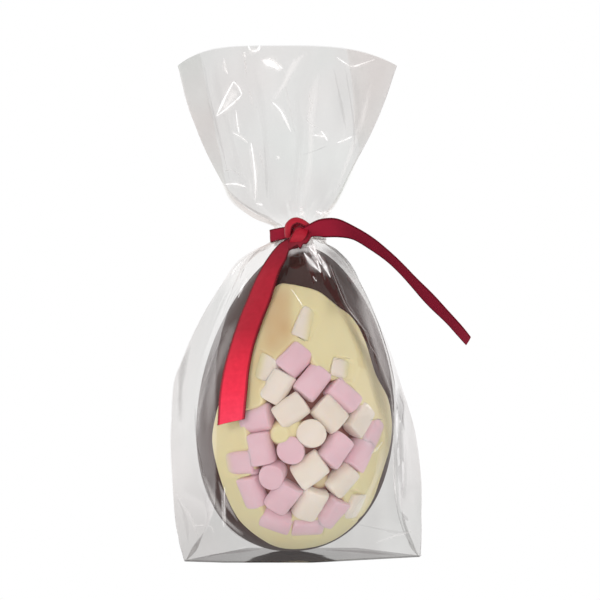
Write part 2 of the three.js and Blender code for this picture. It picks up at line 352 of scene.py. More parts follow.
class Closed:
    """the marshmallows' joint outline with the narrow gaps between them closed"""

    def __init__(self, reach=7.0):
        self.x0, self.y0, self.step = 205, 325, 1.0
        gx, gy = np.meshgrid(np.arange(self.x0, 400, self.step), np.arange(self.y0, 560, self.step))
        d = np.full(gx.shape, -1e9)
        for k, spec in enumerate(MARSHMALLOWS):
            if k not in FLUSH:
                d = np.maximum(d, to_outline(gx, gy, spec))
        wide = d > -reach
        out = ~wide
        edge = out & (
            np.roll(wide, 1, 0) | np.roll(wide, -1, 0) | np.roll(wide, 1, 1) | np.roll(wide, -1, 1)
        )
        ex, ey = gx[edge], gy[edge]
        sd = np.full(gx.shape, -reach)
        idx = np.argwhere(wide)
        for a in range(0, len(idx), 4000):
            i = idx[a : a + 4000]
            q = np.hypot(gx[i[:, 0], i[:, 1]][:, None] - ex, gy[i[:, 0], i[:, 1]][:, None] - ey).min(1)
            sd[i[:, 0], i[:, 1]] = q - reach
        self.sd = sd
        self.solid = d

    def _read(self, grid, px, py):
        fx = np.clip((px - self.x0) / self.step, 0, grid.shape[1] - 1.001)
        fy = np.clip((py - self.y0) / self.step, 0, grid.shape[0] - 1.001)
        i, j = fx.astype(int), fy.astype(int)
        u, v = fx - i, fy - j
        return (
            grid[j, i] * (1 - u) * (1 - v)
            + grid[j, i + 1] * u * (1 - v)
            + grid[j + 1, i] * (1 - u) * v
            + grid[j + 1, i + 1] * u * v
        )

    def __call__(self, px, py):
        return self._read(self.sd, px, py)


closed = Closed()


def patch_inside(p, px, py):
    """distance to the white chocolate's edge, mm, positive inside; it ends before the egg's side"""
    side = -1.6 - p[..., 1] + 1.1 * field_noise(p[..., 0] + 5, 0.0 * p[..., 1], p[..., 2], 14.0)
    return np.minimum(signed(px, py, PATCH) / SCALE, side)


def white_height(p, px, py):
    """height of the white chocolate over the plain egg, mm"""
    sd_patch = patch_inside(p, px, py)
    sd_field = closed(px, py) / SCALE
    wob = 0.12 * field_noise(p[..., 0], p[..., 1], p[..., 2], 9.0)
    h = 0.42 + wob
    deep = 5.6 + 0.8 * field_noise(p[..., 0] + 40, p[..., 1], p[..., 2], 5.0)
    for lx, ly, lr, low in LUMPS:
        g = np.exp(-((((px - lx) ** 2 + (py - ly) ** 2) / (lr * lr)) ** 2) * 1.1)
        deep = deep * (1 - g) + low * g
    # it climbs a little where it meets the marshmallows
    h = h + 0.15 * np.exp(-((sd_field + 0.3) / 1.0) ** 2)
    h = h - deep * smooth(0.35, 1.7, sd_field)
    # shallow beds for the flush ones, closed over on one side
    for k in FLUSH:
        cx, cy, ang, length, width = MARSHMALLOWS[k][:5]
        d = to_outline(px, py, MARSHMALLOWS[k])
        da = math.radians(MARSHMALLOWS[k][8])
        along = (px - cx) * math.cos(da) - (py - cy) * math.sin(da)
        cover = smooth(0.05, 1.0, along / (min(length, width) / 2))
        h = h - (1.5 * smooth(-1.2, 1.6, d) * (1 - cover) + 0.25 * smooth(-1, 3, d) * cover)
    return h - 3.0 * (1 - smooth(-1.3, 1.0, sd_patch)), sd_patch


def milk_height(p, px, py):
    sd = patch_inside(p, px, py)
    # the patch is only on the side that faces the camera
    front = smooth(6.0, -2.0, p[..., 1])
    wob = 0.06 * field_noise(p[..., 0], p[..., 1] + 70, p[..., 2], 12.0)
    seam = 0.38 * np.exp(-((p[..., 1] - 1.2) / 0.75) ** 2)
    return wob + seam - 7.0 * smooth(-0.2, 1.8, sd) * front - 0.35 * np.exp(-((sd + 0.2) / 0.7) ** 2) * front


def make_milk():
    rows, cols = 190, 300
    t = np.linspace(0.0, math.pi, rows)
    u = -np.cos(t)
    th = np.linspace(0, 2 * math.pi, cols, endpoint=False)
    U, TH = np.meshgrid(u[1:-1], th, indexing="ij")
    p, n = egg_at(U, TH)
    px, py = project(p[..., 0], p[..., 1], p[..., 2])
    h = milk_height(p, px, py)
    v = (p + n * h[..., None]).reshape(-1, 3)
    faces = grid_faces(rows - 2, cols, wrap=True)
    low = np.array([[egg_x(EGG_Z0), 0, EGG_Z0]])
    top = np.array([[egg_x(EGG_Z0 + EGG_H), 0, EGG_Z0 + EGG_H]])
    nv = len(v)
    j = np.arange(cols)
    cap0 = np.stack([np.full(cols, nv), (j + 1) % cols, j], -1)
    base = (rows - 3) * cols
    cap1 = np.stack([np.full(cols, nv + 1), base + j, base + (j + 1) % cols], -1)
    return mesh_object("egg_milk_chocolate", np.vstack([v, low, top]), [faces, cap0, cap1])


def make_white():
    rows, cols = 250, 280
    t = np.linspace(0.05, math.pi - 0.35, rows)
    u = -np.cos(t)
    th = np.linspace(math.radians(-186), math.radians(6), cols)
    U, TH = np.meshgrid(u, th, indexing="ij")
    p, n = egg_at(U, TH)
    px, py = project(p[..., 0], p[..., 1], p[..., 2])
    h, sd = white_height(p, px, py)
    keep = sd > -2.2
    v = (p + n * h[..., None]).reshape(-1, 3)
    # how deep the surface lies, which sets the painted shade in the recesses between the marshmallows
    low = np.clip(-h / 5.0, 0, 1).reshape(-1)
    # painted shadow of the ribbon, warm with its red bounce light, on the white chocolate right of the ribbon
    sx, sy = px - (277 + (py - 300) * 0.04), py - 321
    ribbon_shadow = (np.exp(-((sx / np.where(sx > 0, 15.0, 19.0)) ** 4 + (sy / 36.0) ** 4))).reshape(-1)
    # and a paler painted shadow down the left side, under the ribbon
    ribbon_shadow = np.maximum(ribbon_shadow, 0.55 * np.exp(-(((px - 262 + (py - 345) * 0.35) / 22.0) ** 4 + ((py - 350) / 45.0) ** 4)).reshape(-1))
    ribbon_shadow *= 0.75 + 0.25 * field_noise(p[..., 0], p[..., 1], p[..., 2] + 30, 6.0).reshape(-1)
    f = grid_faces(rows, cols)
    k = keep.reshape(-1)
    f = f[k[f].all(1)]
    used = np.unique(f)
    index = np.full(len(v), -1)
    index[used] = np.arange(len(used))
    uv = np.stack([low[used], ribbon_shadow[used]], -1)
    ob = mesh_object("egg_white_chocolate", v[used], index[f], uv=uv)
    mod = ob.modifiers.new("thick", "SOLIDIFY")
    mod.thickness = 1.4 * MM
    mod.offset = -1.0
    return ob


def marshmallow(spec, k):
    px, py, angle, length, width, kind, out, tilt = spec[:8]
    length, width = length * 1.045, width * 1.045
    sink = spec[8:]
    flush = k in FLUSH
    rng = RNG(1000 + k)
    qx, qy = px, py
    for _ in range(5):
        s, n = egg_hit(qx, qy)
        depth = (length if kind.endswith("_end") else width) / SCALE / 2 - out
        if kind.endswith("_end"):
            depth = 0.0
        share = 0.35 if flush else 0.8
        c = s - n * depth * share
        cx, cy = project(c[0], c[1], c[2])
        qx, qy = qx + (px - cx) * 0.9, qy + (py - cy) * 0.9
    ca, sa = math.cos(math.radians(angle)), math.sin(math.radians(angle))
    keep = (CAM_D + s[1]) / CAM_D / SCALE
    if kind.endswith("_end"):
        a = n.copy()
        side = np.cross(n, [0, 0, 1.0])
        side /= np.linalg.norm(side)
        up = np.cross(side, n)
        tip = math.radians(tilt)
        a = a * math.cos(tip) + up * math.sin(tip)
        a /= np.linalg.norm(a)
        b = np.cross(a, [1.0, 0, 0])
        b /= np.linalg.norm(b)
        c = np.cross(a, b)
        half, r0 = length * keep / 2, width * keep / 2
        centre = s - n * (half - out)
    else:
        a = np.array([ca, -(ca * n[0] + sa * n[2]) / n[1], sa])
        stretch = min(np.linalg.norm(a), 1.22)
        a /= np.linalg.norm(a)
        b = np.cross(n, a)
        b /= np.linalg.norm(b)
        tip = math.radians(tilt)
        a2 = a * math.cos(tip) + n * math.sin(tip)
        c = np.cross(a2, b)
        a = a2
        half, r0 = length * keep * stretch / 2, width * keep / 2
        centre = s - n * (r0 * (0.93 if flush else 0.80) - out)
    # side profile from one end's middle to the other's: domed ends, round shoulders
    fil = r0 * (0.145 + 0.05 * rng.rand())
    prof = []
    dome = 0.05 * r0
    for q in np.linspace(0.0, 1.0, 7):
        rr = q * (r0 - fil)
        prof.append((half - dome * (rr / r0) ** 2, rr))
    for q in np.linspace(0.12, 1.0, 7):
        ang = q * math.pi / 2
        prof.append((half - dome - fil * (1 - math.cos(ang)), r0 - fil + fil * math.sin(ang)))
    flat = half - dome - fil
    for q in np.linspace(0, 1, 9)[1:]:
        x = flat * (1 - q)
        prof.append((x, r0 * (1 + 0.022 * (1 - (x / half) ** 2))))
    prof = prof + [(-x, r) for x, r in prof[-2::-1]]
    prof = np.array(prof)
    cols = 44
    ph = np.linspace(0, 2 * math.pi, cols, endpoint=False)
    X, PH = np.meshgrid(prof[1:-1, 0], ph, indexing="ij")
    R = np.repeat(prof[1:-1, 1][:, None], cols, 1)
    # uneven: slightly squashed, leaning end faces, small dents
    sq = 1 + 0.045 * math.sin(rng.rand() * 6) * np.cos(2 * PH + rng.rand() * 6) + 0.02 * np.cos(3 * PH + rng.rand() * 6)
    lean = (rng.rand(2) - 0.5) * 0.16
    X2 = X + R * (lean[0] * np.cos(PH) + lean[1] * np.sin(PH)) * smooth(0.3, 1.0, np.abs(X) / half)
    nz = Noise(300 + k, 9)
    R2 = R * sq * (1 + 0.030 * nz(X * 1.0, R * np.cos(PH), R * np.sin(PH), r0 * 0.8))
    X2 = X2 * (1 + 0.02 * nz(X + 9, R * np.cos(PH), R * np.sin(PH), r0 * 0.9))
    cs, sn = np.cos(PH), np.sin(PH)
    v = (
        centre
        + X2[..., None] * a
        + (R2 * cs)[..., None] * b
        + (R2 * sn)[..., None] * c
    )
    v = v.reshape(-1, 3)
    rows = len(prof) - 2
    v = np.vstack([v, centre + a * prof[0, 0], centre + a * prof[-1, 0]])
    # pressed flat against the egg's outer face
    d, m = above_egg(v)
    top, soft = (0.60, 0.45) if flush else (1.22, 0.85)
    if sink:
        da = math.radians(sink[0])
        away = (v[:, 0] - centre[0]) * math.cos(da) + (v[:, 2] - centre[2]) * math.sin(da)
        drop = sink[1] * np.clip(away + 2.0, 0, None)
        v = v - m * drop[:, None]
        d, m = above_egg(v)
    x = d - (top - soft)
    d2 = np.where(x > 0, (top - soft) + soft * (1 - np.exp(-x / soft)), d)
    v = v + m * (d2 - d)[:, None]
    cover = np.zeros(len(v))
    if flush:
        vx, vy = project(v[:, 0], v[:, 1], v[:, 2])
        da = math.radians(sink[0])
        along = (vx - px) * math.cos(da) - (vy - py) * math.sin(da)
        share = along / (min(length, width) / 2)
        white = kind.startswith("white") and k != 25
        cover = smooth(-0.30, 0.62, share) if white else smooth(0.35, 1.30, share)
        v = v - m * (1.5 * smooth(-0.1, 1.1, share) if white else 0.8 * smooth(0.4, 1.4, share))[:, None]
    f = grid_faces(rows, cols, wrap=True)
    nv = rows * cols
    j = np.arange(cols)
    cap0 = np.stack([np.full(cols, nv), (j + 1) % cols, j], -1)
    base = (rows - 1) * cols
    cap1 = np.stack([np.full(cols, nv + 1), base + j, base + (j + 1) % cols], -1)
    # faces point outwards whichever way the three axes turn
    if np.dot(np.cross(a, b), c) > 0:
        f, cap0, cap1 = f[:, ::-1], cap0[:, ::-1], cap1[:, ::-1]
    return v, f, np.vstack([cap0, cap1]), cover


def make_marshmallows(colour):
    vs, quads, tris, uvs, at = [], [], [], [], 0
    for k, spec in enumerate(MARSHMALLOWS):
        if not spec[5].startswith(colour):
            continue
        v, f, t, cover = marshmallow(spec, k)
        vs.append(v)
        uvs.append(np.column_stack([cover, np.zeros(len(v))]))
        quads.append(f + at)
        tris.append(t + at)
        at += len(v)
    return mesh_object(
        f"marshmallows_{colour}", np.vstack(vs), [np.vstack(quads), np.vstack(tris)], uv=np.vstack(uvs)
    )


# ---------------------------------------------------------------------------
# The bag: the same outline at each height as the solid it replaces
# ---------------------------------------------------------------------------
NECK_X, NECK_R, NECK_LOW, NECK_HIGH = -3.1, 8.3, 126.4, 130.2
MOUTH_Z, MOUTH_DROP, MOUTH_HALF = 202.4, 8.2, 2.2
FILM_GAP = 0.8

FOLDS = np.array([
    [0.0, -45.2, -31.4, 46.0, -17.4, 46.8, -14.0, -45.8, -28.6],
    [6.0, -41.8, -33.0, 43.6, -21.0, 47.8, -3.0, -48.0, -18.0],
    [14.0, -36.4, -34.0, 40.4, -24.4, 48.5, 7.5, -50.6, -7.0],
    [25.0, -33.5, -33.5, 37.6, -24.5, 48.9, 17.0, -52.2, 4.0],
    [45.0, -33.2, -31.0, 37.2, -20.0, 46.8, 23.5, -53.5, 12.0],
    [65.0, -33.6, -27.2, 36.6, -17.5, 40.8, 23.5, -52.3, 14.0],
    [78.0, -33.2, -23.2, 34.6, -14.5, 36.6, 21.0, -48.2, 14.0],
    [88.0, -31.4, -19.4, 31.6, -12.5, 32.8, 18.0, -43.8, 13.0],
    [98.0, -28.4, -16.0, 27.6, -10.8, 28.8, 15.0, -38.6, 11.0],
    [108.0, -23.8, -13.0, 22.6, -9.6, 23.6, 12.5, -32.4, 9.0],
    [115.0, -20.4, -11.0, 18.8, -8.8, 19.4, 10.5, -27.4, 7.5],
    [120.4, -15.4, -9.6, 13.4, -8.4, 14.2, 9.0, -20.6, 6.6],
    [124.0, -11.0, -8.0, 8.4, -8.0, 9.2, 7.6, -13.6, 6.0],
    [126.0, -8.6, -7.4, 5.0, -7.4, 5.6, 6.8, -11.0, 5.4],
])
BASE_EDGES = np.array([
    [0.0, -30.0, -35.2, 4.0, -35.2, 22.0, 12.0, -22.0, 12.0],
    [8.0, -28.0, -35.8, 8.0, -35.6, 22.5, 16.0, -23.0, 16.0],
    [25.0, -22.0, -37.0, 14.0, -36.6, 20.0, 26.0, -22.0, 26.0],
    [40.0, -17.0, -37.6, 12.0, -37.2, 16.0, 34.4, -19.0, 34.4],
    [54.0, -12.0, -37.4, 6.0, -37.6, 10.0, 36.0, -14.0, 36.0],
])
FAN = np.array([
    [130.2, NECK_X - NECK_R, NECK_X + NECK_R, 8.3],
    [132.0, -14.6, 7.6, 7.6],
    [134.8, -20.2, 9.8, 6.6],
    [142.4, -29.1, 15.0, 4.6],
    [155.6, -36.7, 21.9, 3.9],
    [168.4, -42.3, 28.4, 3.2],
    [184.0, -47.1, 34.3, 2.7],
    [MOUTH_Z, -50.4, 38.7, MOUTH_HALF],
])
TUCK = np.array([
    [0.0, 0.6, 0.6], [5.0, 5.0, 4.0], [14.0, 6.0, 5.0], [28.0, 2.4, 2.4], [45.0, 0.4, 1.0],
    [65.0, 0.6, 1.6], [90.0, 1.6, 1.2], [110.0, 1.0, 0.8], [122.0, 0.2, 0.2],
])

# how far the side folds lie inside the fanned mouth, left and right
FAN_TUCK = np.array([
    [131.0, 0.0, 0.0], [142.0, 0.6, 0.4], [150.0, 3.0, 0.6], [160.0, 6.2, 1.5], [168.0, 7.6, 7.0],
    [178.0, 9.2, 11.5], [190.0, 9.6, 16.0], [202.4, 9.6, 21.0],
])


def through(rows, z):
    n = len(rows)
    i = 0
    while i < n - 2 and z > rows[i + 1][0]:
        i += 1
    h = rows[i + 1][0] - rows[i][0]
    t = min(1.0, max(0.0, (z - rows[i][0]) / h))

    def slope(k):
        if k == 0:
            return (rows[1][1:] - rows[0][1:]) / (rows[1][0] - rows[0][0])
        if k == n - 1:
            return (rows[k][1:] - rows[k - 1][1:]) / (rows[k][0] - rows[k - 1][0])
        a = (rows[k][1:] - rows[k - 1][1:]) / (rows[k][0] - rows[k - 1][0])
        b = (rows[k + 1][1:] - rows[k][1:]) / (rows[k + 1][0] - rows[k][0])
        s = a + b
        s = np.where(np.abs(s) < 1e-12, 1.0, s)
        return np.where(a * b <= 0, 0.0, 2 * a * b / s)

    t2, t3 = t * t, t**3
    return (
        (2 * t3 - 3 * t2 + 1) * rows[i][1:]
        + (t3 - 2 * t2 + t) * slope(i) * h
        + (-2 * t3 + 3 * t2) * rows[i + 1][1:]
        + (t3 - t2) * slope(i + 1) * h
    )


def hull(points):
    p = sorted(map(tuple, points))

    def half(seq):
        out = []
        for q in seq:
            while (
                len(out) > 1
                and (out[-1][0] - out[-2][0]) * (q[1] - out[-2][1])
                - (out[-1][1] - out[-2][1]) * (q[0] - out[-2][0])
                <= 1e-9
            ):
                out.pop()
            out.append(q)
        out.pop()
        return out

    return np.array(half(p) + half(p[::-1]))


def resample(points, corners, steps):
    """divide an outline evenly between its four corners"""
    nxt = np.roll(points, -1, 0)
    d = nxt - points
    seg = np.hypot(d[:, 0], d[:, 1])
    cum = np.concatenate([[0], np.cumsum(seg)])
    total = cum[-1]
    at = []
    for c in corners:
        t = np.clip(((c - points) * d).sum(1) / np.maximum(seg**2, 1e-12), 0, 1)
        q = points + d * t[:, None]
        k = int(np.argmin(np.round(np.hypot(*(q - c).T), 9)))
        at.append(cum[k] + t[k] * seg[k])
    out = []
    closed = np.vstack([points, points[:1]])
    for k in range(4):
        a, b = at[k], at[(k + 1) % 4]
        while b < a:
            b += total
        if b - a > total * 0.9:
            b = a
        s = (a + (b - a) * np.arange(steps[k]) / steps[k]) % total
        out.append(np.stack([np.interp(s, cum, closed[:, 0]), np.interp(s, cum, closed[:, 1])], -1))
    return out


CIRCLE = np.linspace(0, 2 * math.pi, 144, endpoint=False)


def section(z, steps):
    """four runs of points: front panel, right gusset, back panel, left gusset"""
    if z < 126.1:
        f = through(FOLDS, min(z, 126.0))
        corners = f.reshape(4, 2)
        pts = [corners]
        if z <= 54:
            pts.append(through(BASE_EDGES, z).reshape(4, 2))
        u = 2 * min(z, 119.0) / 122.0 - 1
        r = float(egg_radius(np.array(u))) + FILM_GAP
        if z > 2:
            cx = -4.5 + 0.035 * z
            pts.append(np.stack([cx + r * np.cos(CIRCLE), r * np.sin(CIRCLE)], -1))
        tuck = through(TUCK, z)
        pts = np.vstack(pts)
    else:
        if z <= NECK_HIGH:
            f = np.array([NECK_X - NECK_R, NECK_X + NECK_R, NECK_R])
        else:
            f = through(FAN, z)
        cx, a, d = (f[0] + f[1]) / 2, (f[1] - f[0]) / 2, f[2]
        flat = min(1.0, max(0.0, (a - 9) / 12))
        c, s = 0.74 + (0.985 - 0.74) * flat, 0.67 + (0.16 - 0.67) * flat
        corners = np.array([[cx - a * c, -d * s], [cx + a * c, -d * s], [cx + a * c, d * s], [cx - a * c, d * s]])
        thin = 1 + (0.9 + 0.1 * np.cos(CIRCLE) ** 2 - 1) * flat
        pts = np.stack([cx + a * np.cos(CIRCLE), d * np.sin(CIRCLE) * thin], -1)
        tuck = np.array([0.0, 0.0])
    return resample(hull(pts), corners, steps), tuck


film_noise = Noise(21, 23)


def crumple(p, seed, size, count=7):
    """flat facets meeting in sharp creases, about -1..1"""
    rng = RNG(seed)
    out = 0.0
    for _ in range(count):
        d = rng.normal(size=3)
        d /= np.linalg.norm(d)
        lam = size * (0.6 + 1.1 * rng.rand())
        warp = 0.35 * film_noise(p[..., 0] + 50 * rng.rand(), p[..., 1], p[..., 2], size * 1.7)
        out = out + (tri_wave((p @ d) / lam + rng.rand() + warp) - 0.5) * 2 / count
    return out


# creases of the fanned top's front sheet, in picture coordinates:
# from, to, height mm (+ towards the camera), half width mm
TOP_CREASES = [
    (233, 82, 216, 116, 0.9, 1.6), (216, 116, 242, 94, 0.8, 1.4), (235, 111, 237, 136, 0.8, 1.2),
    (251, 143, 254, 202, 1.3, 1.7), (271, 102, 289, 132, 0.9, 1.6), (262, 60, 282, 72, 1.1, 3.2),
    (335, 57, 352, 67, 0.7, 1.4), (352, 67, 375, 59, 0.7, 1.4), (312, 135, 326, 141, 0.7, 1.4),
    (337, 142, 352, 137, 0.7, 1.4), (225, 183, 246, 186, 0.6, 1.4), (316, 212, 331, 209, 0.9, 2.2),
    (300, 80, 296, 210, 0.9, 2.6), (331, 92, 309, 205, -0.9, 2.6), (205, 92, 243, 200, 0.8, 2.0),
    (268, 60, 276, 205, -0.9, 3.0), (228, 60, 262, 205, -0.8, 2.4), (362, 90, 322, 200, 0.8, 1.8),
    (347, 120, 318, 208, -0.7, 1.6), (286, 60, 290, 130, 0.6, 3.0),
]
# creases of the body's front: mostly where the film is pulled up to the neck
BODY_CREASES = [
    (303, 250, 320, 275, 0.8, 1.2), (318, 252, 322, 282, 0.7, 1.1), (322, 262, 336, 290, 0.7, 1.0),
    (330, 266, 345, 305, 0.8, 1.1), (345, 305, 358, 325, 0.7, 1.0), (358, 325, 375, 350, 0.7, 1.0),
    (375, 350, 391, 398, 0.6, 1.0), (262, 250, 222, 300, 0.7, 1.5), (256, 262, 236, 300, 0.6, 1.2),
    (270, 246, 210, 288, 0.7, 1.4), (224, 488, 225, 524, 0.9, 1.2), (252, 256, 205, 312, -0.6, 1.6),
]


def segment_distance(px, py, s):
    x1, y1, x2, y2 = s[:4]
    dx, dy = x2 - x1, y2 - y1
    t = ((px - x1) * dx + (py - y1) * dy) / (dx * dx + dy * dy)
    tc = np.clip(t, 0, 1)
    side = np.hypot(px - x1 - tc * dx, py - y1 - tc * dy) / SCALE
    return side, t


def make_film():
    """the film's walls, and its base"""
    steps = [150, 44, 110, 44]
    total = sum(steps)
    low = np.concatenate([[0, 0.6, 1.3], np.arange(2.2, 123.2, 1.05)])
    mid = np.array([123.6, 124.4, 125.2, 126.0, 126.6, 127.2, 128.2, 129.2, 130.2])
    high = np.concatenate([[130.7, 131.4, 132.2, 133.1, 134.2], np.arange(135.2, MOUTH_Z, 0.95), [MOUTH_Z]])
    levels = np.concatenate([low, mid, high])
    rings = []
    w = np.concatenate([k + np.arange(s) / s for k, s in enumerate(steps)])  # 0..4 round the bag
    for z in levels:
        runs, tuck = section(float(z), steps)
        fan = max(0.0, (z - 132.0) / (MOUTH_Z - 132.0))
        for k, g in ((1, -1), (3, 1)):
            s = np.arange(steps[k]) / steps[k]
            prof = 1 - np.abs(2 * s - 1)
            inward = tuck[1] if k == 1 else tuck[0]
            if fan > 0:
                inward = through(FAN_TUCK, z)[1 if k == 1 else 0]
            runs[k] = runs[k].copy()
            runs[k][:, 0] += g * inward * prof
        ring = np.vstack(runs)
        lift = max(0.0, (z - 150.0) / (MOUTH_Z - 150.0))
        s = (ring[:, 0] + 5.8) / 44.2
        # flat in the middle and rounded off late, at the left latest
        zz = z - MOUTH_DROP * lift * lift * np.abs(s) ** np.where(s < 0, 4.4, 3.0)
        rings.append(np.column_stack([ring, zz]))
    P = np.array(rings)  # levels x total x 3
    # outward normals
    du = np.roll(P, -1, 1) - np.roll(P, 1, 1)
    dv = np.gradient(P, axis=0)
    N = np.cross(du, dv)
    N /= np.maximum(np.linalg.norm(N, axis=-1, keepdims=True), 1e-9)
    Z = np.repeat(levels[:, None], total, 1)
    W = np.repeat(w[None, :], len(levels), 0)
    # distance along the outline, mm, from the front-left fold
    step = np.linalg.norm(np.roll(P[..., :2], -1, 1) - P[..., :2], axis=-1)
    disp = np.zeros(Z.shape)
    rng = RNG(77)
    away = np.abs(Z - 127.2)
    # pleats that run out of the gathered neck
    for k in range(64):
        centre = rng.rand() * 4
        up, down = 10 + 52 * rng.rand() ** 1.6, 5 + 34 * rng.rand() ** 1.6
        amp = (0.5 + 1.1 * rng.rand()) * (1 if rng.rand() < 0.55 else -1)
        drift = (rng.rand() - 0.5) * 0.004
        wide_up, wide_low = 0.020 + 0.030 * rng.rand(), 0.035 + 0.02 * rng.rand()
        reach = np.where(Z > 127.2, up, down)
        wide = wide_low + wide_up * np.clip(away / 30, 0, 1)
        dw = (W - centre - drift * away + 2) % 4 - 2
        fade = np.clip(1 - away / reach, 0, 1) ** 0.8
        disp += amp * tent(dw / wide) * fade * np.clip(away / 5.0, 0.55, 1.0)
    in_neck = smooth(6.5, 2.2, away)
    # the neck itself: tight pleats that stay inside the ribbon's band
    tight = -1.5 * tri_wave(W * 7.25 + 0.15 * np.sin(W * 9)) * in_neck
    disp = disp * (1 - in_neck) + tight
    upper = smooth(133, 150, Z)
    lower = smooth(121, 112, Z)
    disp += 0.55 * crumple(P, 31, 38.0) * upper
    disp += 0.08 * crumple(P, 32, 12.0) * upper
    # round the egg the film is stretched; at its sides and corners it is loose
    gap, _ = above_egg(P)
    loose = smooth(1.5, 7.0, gap) * lower
    disp += 0.8 * crumple(P, 33, 30.0) * loose
    disp += 0.18 * crumple(P, 34, 11.0) * loose
    disp += 0.22 * crumple(P, 35, 24.0) * lower
    px, py = project(P[..., 0], P[..., 1], P[..., 2])
    front = (W < 1.0) | (W > 3.85) | ((W > 1.0) & (W < 1.15))
    for s in TOP_CREASES:
        d, t = segment_distance(px, py, s)
        ends = smooth(-0.02, 0.16, t) * smooth(1.02, 0.84, t)
        disp += s[4] * tent(d / s[5]) * ends * ((W < 1.0) & (Z > 131))
    for s in BODY_CREASES:
        d, t = segment_distance(px, py, s)
        ends = smooth(-0.02, 0.12, t) * smooth(1.02, 0.88, t)
        disp += s[4] * tent(d / s[5]) * ends * (front & (Z < 124))
    # flat on the table
    disp *= smooth(0.0, 5.0, Z) * 0.9 + 0.1 * (Z > 0)
    # never into the egg
    rise = 1.75 * smooth(-4.0, 2.0, closed(px, py)) * (P[..., 1] < 0)
    for k in FLUSH:
        rise = np.maximum(rise, 1.25 * smooth(-8.0, 0.0, to_outline(px, py, MARSHMALLOWS[k])) * (P[..., 1] < 0))
    need = np.maximum(np.maximum(rise, 1.05), np.minimum(1.05 + disp, 1.6))
    disp = np.where(Z < 118, np.maximum(disp, need - gap), np.where(Z < 124, np.maximum(disp, 0.25 - gap), disp))
    V = P + N * disp[..., None]
    V[0, :, 2] = 0.12
    V[..., 2] = np.maximum(V[..., 2], 0.12)
    faces = grid_faces(len(levels), total, wrap=True)
    v = V.reshape(-1, 3)
    # density: how cloudy the film is at each place; beyond its random cloud, its changes by place are partly painted
    # shade and veil: denser low on the body, in the right gusset and over the egg's upper right, clearer at its upper
    # left
    frac = W - np.floor(W)
    gus = ((W >= 1) & (W < 2)) | (W >= 3)
    cloud = film_noise(px / 9.0, py / 26.0, np.where(P[..., 1] < 0, 0.0, 7.0), 2.0)
    cloud = cloud + 0.5 * film_noise(px / 9.0 + 9, py / 26.0, np.where(P[..., 1] < 0, 3.0, 9.0), 0.9)
    fan = 0.40 + 0.12 * smooth(262, 200, px) + 0.06 * smooth(150, 190, py) + 0.10 * cloud
    fan = np.where(gus, 0.06 * (1 - smooth(0.0, 0.08, np.minimum(frac, 1 - frac))), fan)
    body = 0.60 + 0.24 * smooth(34, 4, Z) * smooth(388, 372, px) + 0.07 * cloud
    right = smooth(0.90, 1.02, W) * smooth(2.06, 1.96, W)
    body = body + (0.34 + 0.16 * smooth(398, 408, px)) * right * smooth(118, 100, Z) * smooth(2, 24, Z) + 0.44 * smooth(320, 332, px) * smooth(376, 356, px) * smooth(92, 100, Z)
    body = body * (1 - 0.75 * smooth(119, 124, Z))
    fan = fan * (0.25 + 0.75 * smooth(129, 137, Z))
    body = body * (1 - 0.85 * smooth(96, 112, Z) * smooth(290, 270, px))
    dens = np.clip(np.where(Z > 128, fan, body), 0.02, 1.0)
    uv = np.stack([dens, np.zeros(dens.shape)], -1).reshape(-1, 2)
    film = mesh_object("bag_film", v, faces, uv=uv)
    # the base: rings shrinking towards the middle, a hair off the table
    ring = V[0]
    mid_pt = np.array([0.0, -11.5, 0.16])
    at, prev, base_faces = 0, None, []
    parts = []
    for q in (1.0, 0.985, 0.93, 0.8, 0.6, 0.4, 0.2):
        r2 = mid_pt + (ring - mid_pt) * q
        r2[:, 2] = 0.12 + 0.06 * (1 - q) + 0.05 * crumple(r2, 36, 18.0) * (q < 1)
        r2[:, 2] = np.maximum(r2[:, 2], 0.10)
        parts.append(r2)
        cur = at + np.arange(total)
        nx = np.roll(np.arange(total), -1)
        if prev is not None:
            base_faces.append(np.stack([prev[nx], prev, cur, cur[nx]], -1))
        prev = cur
        at += total
    parts.append(mid_pt[None])
    nx = np.roll(np.arange(total), -1)
    cap = np.stack([prev[nx], prev, np.full(total, at)], -1)
    base = mesh_object("bag_base", np.vstack(parts), [np.vstack(base_faces), cap], uv=np.ones((at + 1, 2)))
    return film, base


def make_neck():
    """the gathered film inside the neck: deep pleats that close over its middle"""
    cols = 400
    th = np.linspace(0, 2 * math.pi, cols, endpoint=False)
    levels = [(z, 1.0) for z in np.arange(122.4, 128.2, 0.5)]
    levels += [(128.6, 0.93), (128.9, 0.8), (129.15, 0.62), (129.3, 0.4), (129.4, 0.2), (129.45, 0.02)]
    rows = []
    for z, share in levels:
        low = smooth(126.5, 122.6, z)
        saw = tri_wave(th * 11 / (2 * math.pi) + 0.10 * np.sin(3 * th + z * 0.15))
        saw = saw * (0.75 + 0.25 * np.sin(5 * th + 0.2 * z))
        r = (3.4 + (3.6 + 1.6 * low) * saw) * share
        zz = z + 0.5 * (1 - share) * saw + 0.3 * np.sin(4 * th)
        rows.append(np.stack([NECK_X + r * np.cos(th), r * np.sin(th), zz], -1))
    v = np.array(rows).reshape(-1, 3)
    return mesh_object("bag_neck_pleats", v, grid_faces(len(levels), cols, wrap=True), uv=np.tile([0.55, 0.0], (len(v), 1)))


def gathered_material():
    """film in so many layers that it looks milky"""
    m, nt, out = new_material("clear_film_gathered")
    clear = node(nt, "ShaderNodeBsdfTransparent", Color=(0.96, 0.955, 0.95, 1))
    p = node(nt, "ShaderNodeBsdfPrincipled", Roughness=0.25)
    p.inputs["Base Color"].default_value = (0.93, 0.92, 0.91, 1)
    mix = nt.nodes.new("ShaderNodeMixShader")
    mix.inputs[0].default_value = 0.52
    nt.links.new(clear.outputs[0], mix.inputs[1])
    nt.links.new(p.outputs[0], mix.inputs[2])
    nt.links.new(mix.outputs[0], out.inputs["Surface"])
    return m
